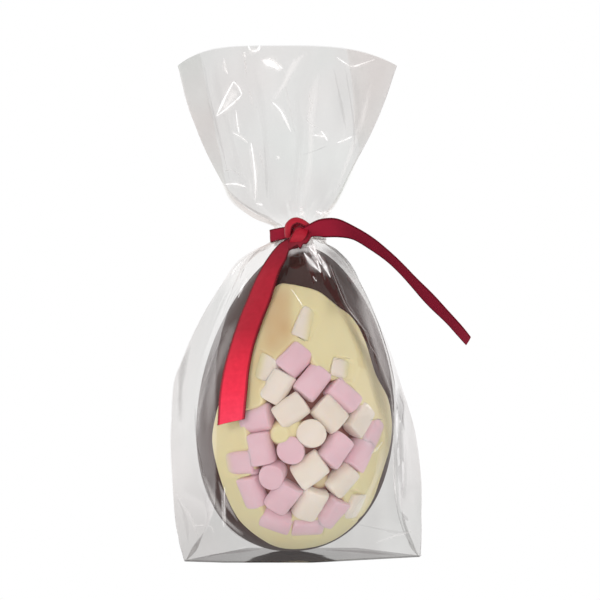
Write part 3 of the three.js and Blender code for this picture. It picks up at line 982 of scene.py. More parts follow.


# ---------------------------------------------------------------------------
# Creases
# ---------------------------------------------------------------------------
# painted highlights: white strokes on the film where its creases catch the light: picture points along each, half width
# px, strength
PAINTED_GLINTS = [
    ([(303.8, 252.5), (308, 258.5), (314, 265.5), (320.5, 272)], 2.5, 1.0),
    ([(309, 247), (313.5, 252), (317.5, 257.5), (321.5, 265)], 1.9, 0.95),
    ([(318, 253.5), (322.5, 261), (326, 268.5), (330.5, 277.5)], 2.1, 0.95),
    ([(312.6, 243.5), (314.5, 249), (317, 255)], 1.3, 0.85),
    ([(317, 260), (319, 267), (320.8, 273)], 1.4, 0.85),
    ([(313, 276), (315, 279.5), (317, 281)], 0.7, 0.6),
    ([(330, 265), (337, 284), (345, 303), (350, 311), (357, 320), (365, 330)], 0.7, 0.35),
    ([(365, 330), (370, 345), (378, 358), (386, 378), (392, 400), (393, 440)], 0.6, 0.30),
    ([(394, 404), (393.6, 440), (394.5, 480), (397, 506)], 0.7, 0.45),
    ([(224.6, 487), (224.2, 505), (225.2, 525)], 1.3, 0.42),
    ([(222, 500), (222.6, 514), (224, 528)], 0.7, 0.45),
    ([(241, 262), (236, 268), (232, 275)], 1.3, 0.6),
    ([(252, 247), (246, 252), (238, 256)], 0.8, 0.5),
    ([(262, 243), (256, 249), (247, 259), (238, 272)], 0.6, 0.45),
    ([(247, 278), (242, 288), (238, 298)], 1.6, 0.5),
    # the fanned mouth
    ([(234, 81), (226, 96), (216.5, 116)], 1.3, 0.9),
    ([(217, 116), (229, 107), (242, 95)], 1.0, 0.85),
    ([(234, 82), (239, 88), (242, 95)], 0.9, 0.85),
    ([(236, 110), (237.5, 124), (239.5, 134)], 0.8, 0.8),
    ([(233, 133), (241, 137), (248, 143)], 0.9, 0.7),
    ([(251, 143), (253.6, 160), (255.6, 182), (255, 202)], 1.1, 0.9),
    ([(272, 102), (280, 110), (286, 121), (291, 132)], 1.2, 0.9),
    ([(261, 60), (271, 64), (281, 71)], 3.2, 0.75),
    ([(269, 58), (276, 64), (283, 69)], 2.0, 0.6),
    ([(248, 46), (252, 51), (258, 50), (260, 45)], 1.3, 0.9),
    ([(244, 52), (245.5, 58)], 0.8, 0.6),
    ([(224, 58), (225, 68), (228, 74)], 1.0, 0.55),
    ([(336, 57), (344, 62.5), (352, 66.5), (362, 64), (375, 59.5)], 0.9, 0.7),
    ([(313, 135), (320, 136), (325, 137)], 0.9, 0.8),
    ([(321, 131), (324, 135), (327.5, 141)], 1.0, 0.85),
    ([(337, 143), (345, 140), (352.5, 136.5)], 0.8, 0.7),
    ([(225, 184.5), (235, 184), (246, 187)], 1.1, 0.75),
    ([(256, 203.5), (263, 205)], 1.0, 0.75),
    ([(306, 54), (297, 61), (290, 72), (283, 86), (272, 101)], 3.2, 0.22),
    ([(316, 211), (323, 213.5), (331, 210.5)], 2.0, 0.8),
    ([(301, 207), (302, 213), (305, 217)], 2.6, 0.55),
    ([(277, 156), (279.5, 159)], 1.2, 0.6),
]


# painted reflections as broad soft light veils (half width px, strength), and painted shade as dark fold lines and
# patches (negative strength), on the film and over what is seen through it
PAINTED_VEILS_AND_SHADE = [
    ([(336, 252), (347, 268), (357, 286), (366, 306), (374, 328), (383, 352), (391, 380)], 7.5, 0.22),
    ([(357, 296), (366, 318), (375, 342), (384, 368), (391, 392)], 6.5, 0.22),
    ([(349, 262), (359, 280), (369, 304), (378, 328), (388, 356), (397, 384)], 4.2, 0.22),
    ([(282, 256), (291, 251.5), (302, 249.5), (312, 249.5), (322, 252.5)], 6.5, 0.46),
    ([(309, 250.5), (314, 257), (318.5, 266)], 3.2, 0.50),
    ([(322, 247.5), (335, 256), (346, 267), (355, 280)], 4.5, -0.32),
    ([(336, 300), (347, 318), (357, 337), (367, 357), (376, 378), (382, 400), (387, 424), (388, 450)], 8.5, -0.36),
    ([(384, 446), (379, 470), (367, 498), (352, 522)], 6.5, 0.16),
    ([(238, 318), (226, 342), (216, 372), (210, 402), (207, 430)], 6.5, 0.12),
    ([(217, 345), (206, 378), (199, 410), (196.5, 440)], 3.6, 0.18),
    ([(202, 470), (212, 497), (226, 520), (244, 536)], 4.5, 0.25),
    ([(218, 480), (226, 502), (238, 522)], 3.6, 0.22),
    ([(195, 405), (195.6, 430), (199.4, 457), (211, 499), (231, 530), (256, 546)], 1.3, -0.42),
    ([(231, 326), (219, 345), (209, 372), (202, 392), (197, 412)], 1.1, -0.25),
    ([(392, 384), (393.4, 420), (394.3, 460), (395.4, 495), (400, 520), (408, 540), (420, 556)], 1.1, -0.30),
    ([(399, 386), (401, 420), (400, 455), (404, 500)], 7.5, -0.34),
    ([(389.5, 376), (391.5, 386), (393.6, 398), (394.2, 420), (393.8, 440)], 0.8, -0.55),
    ([(236, 90), (230, 100), (222, 111)], 6.0, 0.30),
    # painted light and painted shade of small folds low on the body, and a painted dark line along the foot
    ([(175.3, 493), (183, 505), (190.6, 517.6), (198, 537.5)], 1.9, 0.20),
    ([(192.2, 526), (201, 525.4), (210.5, 526.8), (213.6, 533.7)], 1.0, 0.30),
    ([(178, 500), (184, 514), (187, 530), (188, 545)], 3.0, -0.12),
    ([(205, 556.5), (222, 553.8), (240, 551.6), (262, 549.5)], 2.0, -0.46),
    ([(325, 549.8), (340, 550.8), (360, 552.0), (380, 553.8), (402, 556.2)], 2.0, -0.42),
    ([(399, 393.6), (403.5, 405.8), (402.8, 419.6), (405, 431.9)], 1.2, -0.30),
    ([(355, 524), (378, 529), (401, 533), (414, 531)], 2.4, -0.12),
    ([(376, 543), (394, 536.5), (413, 531.4)], 1.8, 0.18),
    ([(399.7, 511.5), (404, 516), (408.9, 522)], 2.2, -0.22),
    ([(303.5, 306.5), (300.6, 312), (298.4, 318)], 0.5, -0.30),
    ([(296.3, 336.5), (301, 338.6), (305.5, 341.5)], 0.9, -0.62),
    ([(334, 360.5), (340, 358.4), (346, 358.0), (352, 359.2)], 0.7, -0.34),
    ([(337, 377), (341, 380)], 0.8, -0.4),
    ([(370, 420.5), (376, 419.2), (383, 419.8)], 0.8, -0.42),
    ([(291, 289), (296, 295.5), (303, 306.5)], 0.8, 0.55),
    ([(382.5, 442), (377, 449), (370.5, 454)], 1.9, 0.40),
    ([(240, 262), (228, 280), (214, 305)], 7.0, -0.06),
    ([(191, 345), (184, 362), (181, 380), (180, 400), (180, 424)], 5.0, -0.30),
    ([(202, 55), (206, 76), (210, 97), (216, 122), (222, 147), (233, 197)], 1.6, -0.13),
    ([(345, 68), (350, 98), (354, 128), (354, 160)], 1.6, -0.16),
    ([(350, 72), (358, 100), (359, 130), (355, 158)], 7.0, -0.07),
    ([(296, 90), (300, 130), (296, 170), (292, 210)], 5.0, -0.05),
    ([(256, 70), (262, 110), (266, 150), (272, 200)], 6.0, -0.05),
    ([(215, 60), (218, 90), (232, 140), (246, 200)], 5.5, -0.05),
    ([(318, 70), (312, 110), (310, 160), (304, 205)], 6.0, 0.14),
    ([(372, 80), (362, 120), (348, 160), (332, 200)], 4.0, 0.14),
]


# the same painted highlights and painted shade on the back panel, as they lie seen through the bag
REAR_PAINTED_LIGHT = [
    ([(203, 63), (208, 96), (216, 130), (226, 163)], 2.6, -0.10),
    ([(334, 68), (339, 92), (343, 112), (346, 130)], 2.4, -0.14),
    ([(263, 136), (265, 160), (266, 182), (267, 198)], 2.4, -0.10),
    ([(303, 154), (312, 151), (320, 148), (327, 145)], 0.9, -0.16),
    ([(243, 52), (245, 62), (246, 74)], 1.5, 0.36),
    ([(249, 90), (251, 98), (252, 105)], 1.0, 0.42),
    ([(259, 150), (261, 158), (263, 167)], 1.2, 0.36),
    ([(284, 72), (287, 92), (291, 112), (295, 132)], 2.6, 0.16),
    ([(223, 171), (230, 169), (236, 172), (242, 175)], 1.0, 0.34),
    ([(300, 150), (301, 168), (299, 186), (297, 202)], 2.4, 0.16),
    ([(314, 84), (309, 96), (312, 104), (306, 118)], 0.9, 0.40),
    ([(306, 118), (312, 124), (319, 127)], 0.7, 0.42),
    ([(272, 256), (256, 280), (245, 306), (238, 336)], 2.0, 0.26),
    ([(290, 254), (286, 270), (283, 288)], 1.3, 0.34),
    ([(301, 254), (305, 272), (308, 292)], 1.6, 0.34),
    ([(316, 256), (330, 280), (340, 308), (346, 342)], 2.0, 0.24),
    ([(232, 330), (222, 372), (218, 420), (224, 470)], 6.0, 0.10),
    ([(356, 350), (366, 400), (364, 450), (350, 500)], 6.0, 0.10),
]


def make_painted_light_strips(film):
    """thin strips of painted light laid on the film's outer face: white painted highlights where it is sharply creased,
    soft painted veils, and dark painted shade
    """
    from mathutils.bvhtree import BVHTree

    me = film.data
    co = np.empty(len(me.vertices) * 3)
    me.vertices.foreach_get("co", co)
    tree = BVHTree.FromPolygons(
        [tuple(c) for c in co.reshape(-1, 3)], [tuple(q.vertices) for q in me.polygons]
    )
    eye = Vector((CAM_X * MM, -CAM_D * MM, CAM_Z * MM))

    behind = Vector((eye.x, -eye.y, eye.z))

    def onto(px, py, least, start):
        x, z = unproject(px, py, 0.0)
        ray = (Vector((x * MM, 0, z * MM)) - start).normalized()
        hit, normal = tree.ray_cast(start, ray)[:2]
        # light ones keep off the side folds, which the picture only shows edge-on
        if hit is None or abs(normal.dot(ray)) < least:
            return None
        return np.array((hit - ray * 0.00022) / MM)

    vs, fs, uvs, at = [], [], [], 0
    # each painted highlight gets a wide faint painted glow, then its sharp stroke
    glow = [(line, 3.0 * wide + 0.8, 0.16 * strength) for line, wide, strength in PAINTED_GLINTS]
    sharp = [(a, 1.3 * b, c * (1.0 if a[0][1] > 215 else 0.82)) for a, b, c in PAINTED_GLINTS]
    front = glow + sharp + PAINTED_VEILS_AND_SHADE
    for number, (line, wide, strength) in enumerate(front + REAR_PAINTED_LIGHT):
        start = eye if number < len(front) else behind
        c = spline(line, 10, closed=False)
        d = np.gradient(c, axis=0)
        d /= np.maximum(np.linalg.norm(d, axis=1, keepdims=True), 1e-9)
        side = np.stack([-d[:, 1], d[:, 0]], -1)
        t = np.linspace(0, 1, len(c))
        rng = RNG(500 + number)
        uneven = np.interp(t, np.linspace(0, 1, 9), rng.uniform(0.45, 1.1, 9))
        wide_one = wide > 3.4 or strength < 0
        half = wide * np.clip(4 * t * (1 - t), 0.0, 1) ** (0.35 if wide_one else 0.6) * (0.75 + 0.25 * np.sin(9 * t + wide))
        if wide_one:
            uneven = np.clip(5 * t * (1 - t), 0, 1) * np.interp(t, np.linspace(0, 1, 9), rng.uniform(0.85, 1.0, 9))
        half = np.maximum(half, 0.12)
        rows = []
        for k in range(len(c)):
            row = [onto(*(c[k] + side[k] * half[k] * x), 0.02 if strength < 0 else 0.17, start) for x in (-1, -0.5, 0, 0.5, 1)]
            # where a strip would hang over the film's outline it ends at the outline
            for j, inner in ((1, 2), (0, 1), (3, 2), (4, 3)):
                if row[j] is None:
                    row[j] = row[inner]
            rows.append(None if row[2] is None else row)
        good = [k for k in range(len(c)) if rows[k] is not None]
        for k in good:
            vs.extend(rows[k])
            uvs.extend([(strength * min(1.0, uneven[k]), x) for x in (-1, -0.5, 0, 0.5, 1)])
        for i in range(len(good) - 1):
            if good[i + 1] - good[i] == 1:
                for j in range(4):
                    a = at + i * 5 + j
                    fs.append((a, a + 1, a + 6, a + 5))
        at += 5 * len(good)
    return mesh_object("bag_painted_light", np.array(vs), np.array(fs), uv=np.array(uvs))


# painted light: white strips glow by emission as painted highlights and veils, dark strips are painted shade
def painted_light_material():
    m, nt, out = new_material("film_painted_light")
    link = nt.links.new
    uv = nt.nodes.new("ShaderNodeUVMap")
    sep = nt.nodes.new("ShaderNodeSeparateXYZ")
    link(uv.outputs["UV"], sep.inputs["Vector"])
    ab = nt.nodes.new("ShaderNodeMath")
    ab.operation = "ABSOLUTE"
    link(sep.outputs["Y"], ab.inputs[0])
    fade = ramp(nt, [(0.0, (1, 1, 1, 1)), (0.35, (0.85, 0.85, 0.85, 1)), (1.0, (0, 0, 0, 1))])
    link(ab.outputs[0], fade.inputs["Fac"])
    mul = nt.nodes.new("ShaderNodeMath")
    mul.operation = "MULTIPLY"
    link(fade.outputs["Color"], mul.inputs[0])
    link(sep.outputs["X"], mul.inputs[1])
    size = nt.nodes.new("ShaderNodeMath")
    size.operation = "ABSOLUTE"
    link(mul.outputs[0], size.inputs[0])
    tone = ramp(nt, [(0.0, (0.16, 0.14, 0.14, 1)), (0.499, (0.16, 0.14, 0.14, 1)), (0.501, (0.93, 0.89, 0.87, 1)), (0.66, (0.93, 0.89, 0.87, 1)), (0.78, (1, 1, 1, 1))])
    shift = node(nt, "ShaderNodeMapRange")
    shift.inputs["From Min"].default_value = -1.0
    link(sep.outputs["X"], shift.inputs["Value"])
    link(shift.outputs["Result"], tone.inputs["Fac"])
    bright = ramp(nt, [(0.499, (0.0, 0.0, 0.0, 1)), (0.501, (0.10, 0.10, 0.10, 1)), (0.62, (0.12, 0.12, 0.12, 1)), (0.78, (0.35, 0.35, 0.35, 1))])
    link(shift.outputs["Result"], bright.inputs["Fac"])
    clear = node(nt, "ShaderNodeBsdfTransparent", Color=(1, 1, 1, 1))
    p = node(nt, "ShaderNodeBsdfPrincipled", Roughness=0.6)
    p.inputs["Specular IOR Level"].default_value = 0.1
    link(tone.outputs["Color"], p.inputs["Base Color"])
    link(bright.outputs["Color"], p.inputs["Emission Color"])
    p.inputs["Emission Strength"].default_value = 1.0
    mix = nt.nodes.new("ShaderNodeMixShader")
    link(size.outputs[0], mix.inputs[0])
    link(clear.outputs[0], mix.inputs[1])
    link(p.outputs[0], mix.inputs[2])
    link(mix.outputs[0], out.inputs["Surface"])
    return m


def make_base_edge():
    """the sealed fold along the foot of the bag, a fine double edge"""
    runs, _ = section(0.0, [110, 30, 60, 30])
    ring = np.vstack([runs[0], runs[1], runs[2][:1]])
    ring = np.vstack([runs[3][-12:], ring])
    n = len(ring)
    d = np.gradient(ring, axis=0)
    d /= np.maximum(np.linalg.norm(d, axis=1, keepdims=True), 1e-9)
    out = np.stack([d[:, 1], -d[:, 0]], -1)
    prof = [(-0.30, 0.10), (0.10, 0.05), (0.28, 0.18), (0.30, 0.42), (0.12, 0.62), (-0.25, 0.66)]
    v = np.stack([np.column_stack([ring + out * a, np.full(n, b)]) for a, b in prof], 1)
    return mesh_object("bag_base_edge", v.reshape(-1, 3), grid_faces(n, len(prof)), uv=np.ones((n * len(prof), 2)))


# ---------------------------------------------------------------------------
# The ribbon
# ---------------------------------------------------------------------------
def sweep(rows, per, width, thick, across=14, cup=0.0, picot=True, wave=0.0, seed=1, ends=(0.0, 0.0), dull_up=False):
    """a satin strip: rows of x y z and width direction, widths may vary by row"""
    rows = np.asarray(rows, dtype=float)
    c = spline(rows[:, :3], per, closed=False)
    w = spline(rows[:, 3:6], per, closed=False)
    wd = spline(np.column_stack([rows[:, 6] if rows.shape[1] > 6 else np.full(len(rows), width)] * 2), per, closed=False)[:, 0]
    # even steps along the path
    seg = np.linalg.norm(np.diff(c, axis=0), axis=1)
    s = np.concatenate([[0], np.cumsum(seg)])
    n = max(8, int(s[-1] / 0.28))
    q = np.linspace(0, s[-1], n)
    c = np.stack([np.interp(q, s, c[:, i]) for i in range(3)], -1)
    w = np.stack([np.interp(q, s, w[:, i]) for i in range(3)], -1)
    wd = np.interp(q, s, wd)
    d = np.gradient(c, axis=0)
    d /= np.linalg.norm(d, axis=1, keepdims=True)
    w -= (w * d).sum(1, keepdims=True) * d
    w /= np.linalg.norm(w, axis=1, keepdims=True)
    nrm = np.cross(d, w)
    rng = RNG(seed)
    xs = np.linspace(-1, 1, across)
    edge = 0.13 * (np.abs(np.sin(q * math.pi / 0.85))) if picot else 0 * q
    half = wd / 2
    grid_top, grid_low = [], []
    for x in xs:
        e = np.sign(x) * edge * (abs(x) > 0.999)
        off = x * half + e
        slant = x * (ends[0] * np.clip(1 - q / 3.0, 0, 1) + ends[1] * np.clip(1 - (s[-1] - q) / 3.0, 0, 1))
        bend = cup * (x * x - 0.5) + wave * np.sin(q * 0.35 + 2.1 * x + rng.rand() * 0.3)
        t = thick / 2 * (1.0 if abs(x) < 0.9 else 0.7)
        base = c + w * off[:, None] + nrm * (bend if np.ndim(bend) else np.full(n, bend))[:, None] + d * slant[:, None]
        grid_top.append(base + nrm * t)
        grid_low.append(base - nrm * t)
    ring = np.stack(grid_top + grid_low[::-1], 1)  # n x 2*across x 3
    cols = 2 * across
    v = ring.reshape(-1, 3)
    f = grid_faces(n, cols, wrap=True, flip=True)
    # close the ends
    caps = []
    for base, flip in ((0, False), ((n - 1) * cols, True)):
        for i in range(across - 1):
            a, b = base + i, base + i + 1
            e, g = base + cols - 2 - i, base + cols - 1 - i
            quad = [a, b, e, g]
            caps.append(quad[::-1] if flip else quad)
    along = np.repeat(q[:, None], cols, 1).reshape(-1)
    acr = np.tile(np.concatenate([xs, xs[::-1]]), n) * np.repeat(half, cols)
    acr = np.tile(np.concatenate([xs, xs[::-1]]), n) * 0.5 + 0.5
    back = np.tile(np.concatenate([np.zeros(across), np.ones(across)]), n)
    if dull_up:
        back = 1 - back
    uv = np.stack([along / 10.0, acr * 0.98 + 0.01 + 2.0 * back], -1)
    return v, np.vstack([f, np.array(caps)]), uv


def ruled(rows, thick, across=14, bulge=0.0, picot=True, seed=1, front=True, wave=0.0):
    """a strip between two edges; rows of px py y for one edge and px py y for the other"""
    e1 = np.array([[*unproject(r[0], r[1], r[2])[:1], r[2], unproject(r[0], r[1], r[2])[1]] for r in rows])
    e2 = np.array([[*unproject(r[3], r[4], r[5])[:1], r[5], unproject(r[3], r[4], r[5])[1]] for r in rows])
    e1, e2 = spline(e1, 20, closed=False), spline(e2, 20, closed=False)
    mid = (e1 + e2) / 2
    seg = np.linalg.norm(np.diff(mid, axis=0), axis=1)
    s = np.concatenate([[0], np.cumsum(seg)])
    n = max(8, int(s[-1] / 0.28))
    q = np.linspace(0, s[-1], n)
    e1 = np.stack([np.interp(q, s, e1[:, i]) for i in range(3)], -1)
    e2 = np.stack([np.interp(q, s, e2[:, i]) for i in range(3)], -1)
    mid = (e1 + e2) / 2
    d = np.gradient(mid, axis=0)
    d /= np.linalg.norm(d, axis=1, keepdims=True)
    w = e2 - e1
    half = np.linalg.norm(w, axis=1) / 2
    w = w / np.maximum(2 * half[:, None], 1e-6)
    nrm = np.cross(d, w)
    nrm /= np.linalg.norm(nrm, axis=1, keepdims=True)
    # the strip's face is the side that the camera sees
    if nrm[n // 2, 1] > 0:
        nrm = -nrm
    xs = np.linspace(-1, 1, across)
    edge = 0.15 * np.abs(np.sin(q * math.pi / 0.8)) if picot else 0 * q
    rng = RNG(seed)
    ph = rng.rand() * 6
    top, low = [], []
    for x in xs:
        off = x * half + np.sign(x) * edge * (abs(x) > 0.999)
        h = bulge * (1 - x * x) + wave * np.sin(q * 0.55 + 2.6 * x + ph)
        t = thick / 2 * (1.0 if abs(x) < 0.9 else 0.7)
        base = mid + w * off[:, None] + nrm * np.asarray(h).reshape(-1, 1)
        top.append(base + nrm * t)
        low.append(base - nrm * t)
    ring = np.stack(top + low[::-1], 1)
    cols = 2 * across
    v = ring.reshape(-1, 3)
    f = grid_faces(n, cols, wrap=True)
    if np.dot(np.cross(w[n // 2], nrm[n // 2]), d[n // 2]) > 0:
        f = f[:, ::-1]
    caps = []
    for base, flip in ((0, False), ((n - 1) * cols, True)):
        for i in range(across - 1):
            quad = [base + i, base + i + 1, base + cols - 2 - i, base + cols - 1 - i]
            caps.append(quad[::-1] if flip else quad)
    along = np.repeat(q, cols)
    acr = np.tile(np.concatenate([xs, xs[::-1]]), n) * np.minimum(np.repeat(half, cols), 5.0) / 10.0 + 0.5
    # edges keep their dark line whatever the width
    acr = np.tile(np.concatenate([xs, xs[::-1]]), n) * 0.5 + 0.5
    back = np.tile(np.concatenate([np.zeros(across), np.ones(across)]), n)
    if not front:
        back = 1 - back
    return v, np.vstack([f, np.array(caps)]), np.stack([along / 10.0, acr * 0.98 + 0.01 + 2.0 * back], -1)


# left tail: left edge and right edge, px py y
LEFT_TAIL = [
    [291.0, 236.5, -15.2, 304.0, 243.5, -15.6],
    [286.0, 240.0, -15.6, 297.0, 248.0, -15.9],
    [279.5, 244.0, -16.0, 289.5, 250.5, -16.8],
    [270.0, 255.0, -16.6, 286.0, 259.5, -18.2],
    [258.0, 274.5, -17.6, 279.0, 273.5, -21.2],
    [247.5, 298.0, -20.4, 271.5, 297.5, -24.9],
    [238.2, 321.0, -23.4, 262.2, 321.5, -28.6],
    [230.4, 345.0, -26.6, 254.0, 346.0, -31.2],
    [223.8, 369.5, -29.6, 249.2, 370.0, -33.6],
    [219.6, 394.0, -32.4, 246.9, 394.0, -35.6],
    [217.6, 425.5, -34.6, 244.4, 419.2, -37.4],
]
RIGHT_TAIL = [
    [0.6, -14.0, 127.2, 0.10, -0.70, 0.66, 6.0],
    [4.0, -14.6, 128.4, 0.05, -0.76, 0.62, 8.0],
    [8.2, -15.4, 129.2, 0.05, -0.70, 0.72, 9.4],
    [14.1, -17.0, 129.3, 0.00, -0.72, 0.69, 10.0],
    [21.1, -19.0, 126.8, 0.07, -0.88, 0.45, 10.0],
    [29.7, -21.0, 121.3, 0.14, -0.91, 0.38, 10.0],
    [38.6, -23.0, 113.4, 0.14, -0.95, 0.28, 10.0],
    [47.4, -25.0, 103.8, 0.20, -0.91, 0.35, 10.0],
    [56.2, -27.0, 94.7, 0.20, -0.93, 0.31, 10.0],
    [64.6, -28.0, 85.2, 0.18, -0.95, 0.22, 10.0],
]


def make_ribbon():
    pieces = []
    v, f, uv = ruled(LEFT_TAIL, 0.34, across=16, bulge=0.5, seed=3, wave=0.05)
    pieces.append(mesh_object("ribbon_tail_left", v, f, uv=uv))
    v, f, uv = sweep(RIGHT_TAIL, 24, 10, 0.34, cup=0.15, wave=0.10, seed=4, ends=(0, -0.55), dull_up=True)
    pieces.append(mesh_object("ribbon_tail_right", v, f, uv=uv))
    # the band round the neck, lower at the left
    rows = []
    for k in range(25):
        t = -math.pi / 2 + 2 * math.pi * k / 24
        r = 9.5 + 0.10 * math.sin(5 * t)
        rows.append([NECK_X + r * math.cos(t), r * math.sin(t), 128.2 + (1.9 if math.cos(t) < 0 else 0.9) * math.cos(t), 0.14 * math.cos(t), 0.14 * math.sin(t), 1, 4.4 - 0.5 * math.cos(t)])
    v, f, uv = sweep(rows, 10, 5, 0.5, across=18, cup=0.0, wave=0.16, seed=5, dull_up=True)
    uv[:, 0] = uv[:, 0].max() - uv[:, 0]
    pieces.append(mesh_object("ribbon_band", v, f, uv=uv))
    # the knot: a rolled turn that arches over, a strand across it, folds under them
    # each knot piece's uv first number sets where it sits on the ribbon's painted shade ramp, which darkens the knot,
    # the fold most
    turn = [
        (285.4, 236.5, -12.8, 292.0, 236.6, -14.4),
        (284.8, 230.6, -13.6, 291.6, 231.2, -15.6),
        (285.8, 224.6, -14.2, 292.4, 227.2, -16.4),
        (290.4, 219.8, -14.6, 294.4, 224.8, -16.9),
        (296.2, 218.2, -14.6, 297.6, 223.8, -17.0),
        (302.6, 220.0, -14.4, 301.6, 225.4, -16.8),
        (308.4, 223.6, -13.8, 306.4, 228.4, -15.6),
        (311.0, 225.4, -12.6, 308.4, 230.6, -13.2),
    ]
    v, f, uv = ruled(turn, 0.9, across=16, bulge=0.7, seed=6, wave=0.06)
    uv[:, 0] += 2.6
    pieces.append(mesh_object("ribbon_knot_turn", v, f, uv=uv))
    strand = [
        (292.6, 228.0, -13.6, 309.0, 228.6, -13.4),
        (293.8, 230.8, -15.8, 308.6, 232.0, -15.2),
        (291.8, 234.6, -17.0, 306.4, 237.4, -16.6),
        (289.6, 238.4, -17.0, 302.0, 241.2, -16.4),
        (288.0, 242.0, -15.0, 297.0, 243.6, -15.0),
    ]
    v, f, uv = ruled(strand, 0.7, across=20, bulge=0.9, seed=7, wave=0.20)
    uv[:, 0] = 3.9 - 1.9 * uv[:, 0]
    pieces.append(mesh_object("ribbon_knot_strand", v, f, uv=uv))
    fold = [
        (284.6, 240.0, -14.6, 286.0, 250.6, -16.0),
        (289.0, 238.6, -15.2, 289.6, 249.8, -16.9),
        (294.0, 237.4, -15.6, 294.6, 247.0, -17.2),
        (297.0, 237.0, -15.6, 297.6, 245.4, -17.2),
        (299.4, 236.6, -15.6, 300.2, 248.6, -17.4),
        (302.4, 236.0, -15.4, 303.2, 244.0, -17.0),
        (305.2, 235.0, -15.2, 307.0, 243.4, -16.8),
        (308.6, 231.0, -14.2, 310.6, 238.0, -15.0),
    ]
    v, f, uv = ruled(fold, 0.6, across=14, bulge=0.4, seed=8, wave=0.12)
    uv[:, 0] *= 0.4
    pieces.append(mesh_object("ribbon_knot_fold", v, f, uv=uv))
    # core
    rows, cols = 26, 40
    t = np.linspace(0, math.pi, rows)[1:-1]
    ph = np.linspace(0, 2 * math.pi, cols, endpoint=False)
    T, PH = np.meshgrid(t, ph, indexing="ij")
    nz = Noise(91, 9)
    d = np.stack([np.sin(T) * np.cos(PH), np.sin(T) * np.sin(PH), np.cos(T)], -1)
    r = 1 + 0.10 * tri_wave(PH * 2.2 + 1.3 * T) + 0.12 * nz(d[..., 0], d[..., 1], d[..., 2], 0.5)
    v = (d * r[..., None] * np.array([4.3, 3.0, 3.9])).reshape(-1, 3)
    v = np.vstack([v, [[0, 0, 4.0]], [[0, 0, -4.0]]]) + np.array([-1.7, -11.6, 127.4])
    f = grid_faces(rows - 2, cols, wrap=True, flip=True)
    j = np.arange(cols)
    nv = (rows - 2) * cols
    cap0 = np.stack([np.full(cols, nv), j, (j + 1) % cols], -1)
    b0 = (rows - 3) * cols
    cap1 = np.stack([np.full(cols, nv + 1), b0 + (j + 1) % cols, b0 + j], -1)
    uv = np.column_stack([3.4 + v[:, 0] / 10, np.full(len(v), 0.5)])
    pieces.append(mesh_object("ribbon_knot_core", v, [f, cap0, cap1], uv=uv))
    return pieces


# ---------------------------------------------------------------------------
# Materials
# ---------------------------------------------------------------------------
def milk_material():
    m, nt, out = new_material("milk_chocolate")
    p = node(nt, "ShaderNodeBsdfPrincipled", Roughness=0.34)
    p.inputs["Specular IOR Level"].default_value = 0.4
    co = nt.nodes.new("ShaderNodeTexCoord")
    n1 = node(nt, "ShaderNodeTexNoise", Scale=28.0, Detail=3.0, Roughness=0.5)
    nt.links.new(co.outputs["Object"], n1.inputs["Vector"])
    r = ramp(nt, [(0.3, (0.060, 0.026, 0.022, 1)), (0.7, (0.084, 0.038, 0.031, 1))])
    nt.links.new(n1.outputs["Fac"], r.inputs["Fac"])
    nt.links.new(r.outputs["Color"], p.inputs["Base Color"])
    n2 = node(nt, "ShaderNodeTexNoise", Scale=90.0, Detail=4.0, Roughness=0.55)
    nt.links.new(co.outputs["Object"], n2.inputs["Vector"])
    b = node(nt, "ShaderNodeBump", Strength=0.03, Distance=0.0006)
    nt.links.new(n2.outputs["Fac"], b.inputs["Height"])
    nt.links.new(b.outputs["Normal"], p.inputs["Normal"])
    rr = node(nt, "ShaderNodeMapRange")
    rr.inputs["To Min"].default_value = 0.40
    rr.inputs["To Max"].default_value = 0.55
    nt.links.new(n2.outputs["Fac"], rr.inputs["Value"])
    nt.links.new(rr.outputs["Result"], p.inputs["Roughness"])
    nt.links.new(p.outputs["BSDF"], out.inputs["Surface"])
    return m


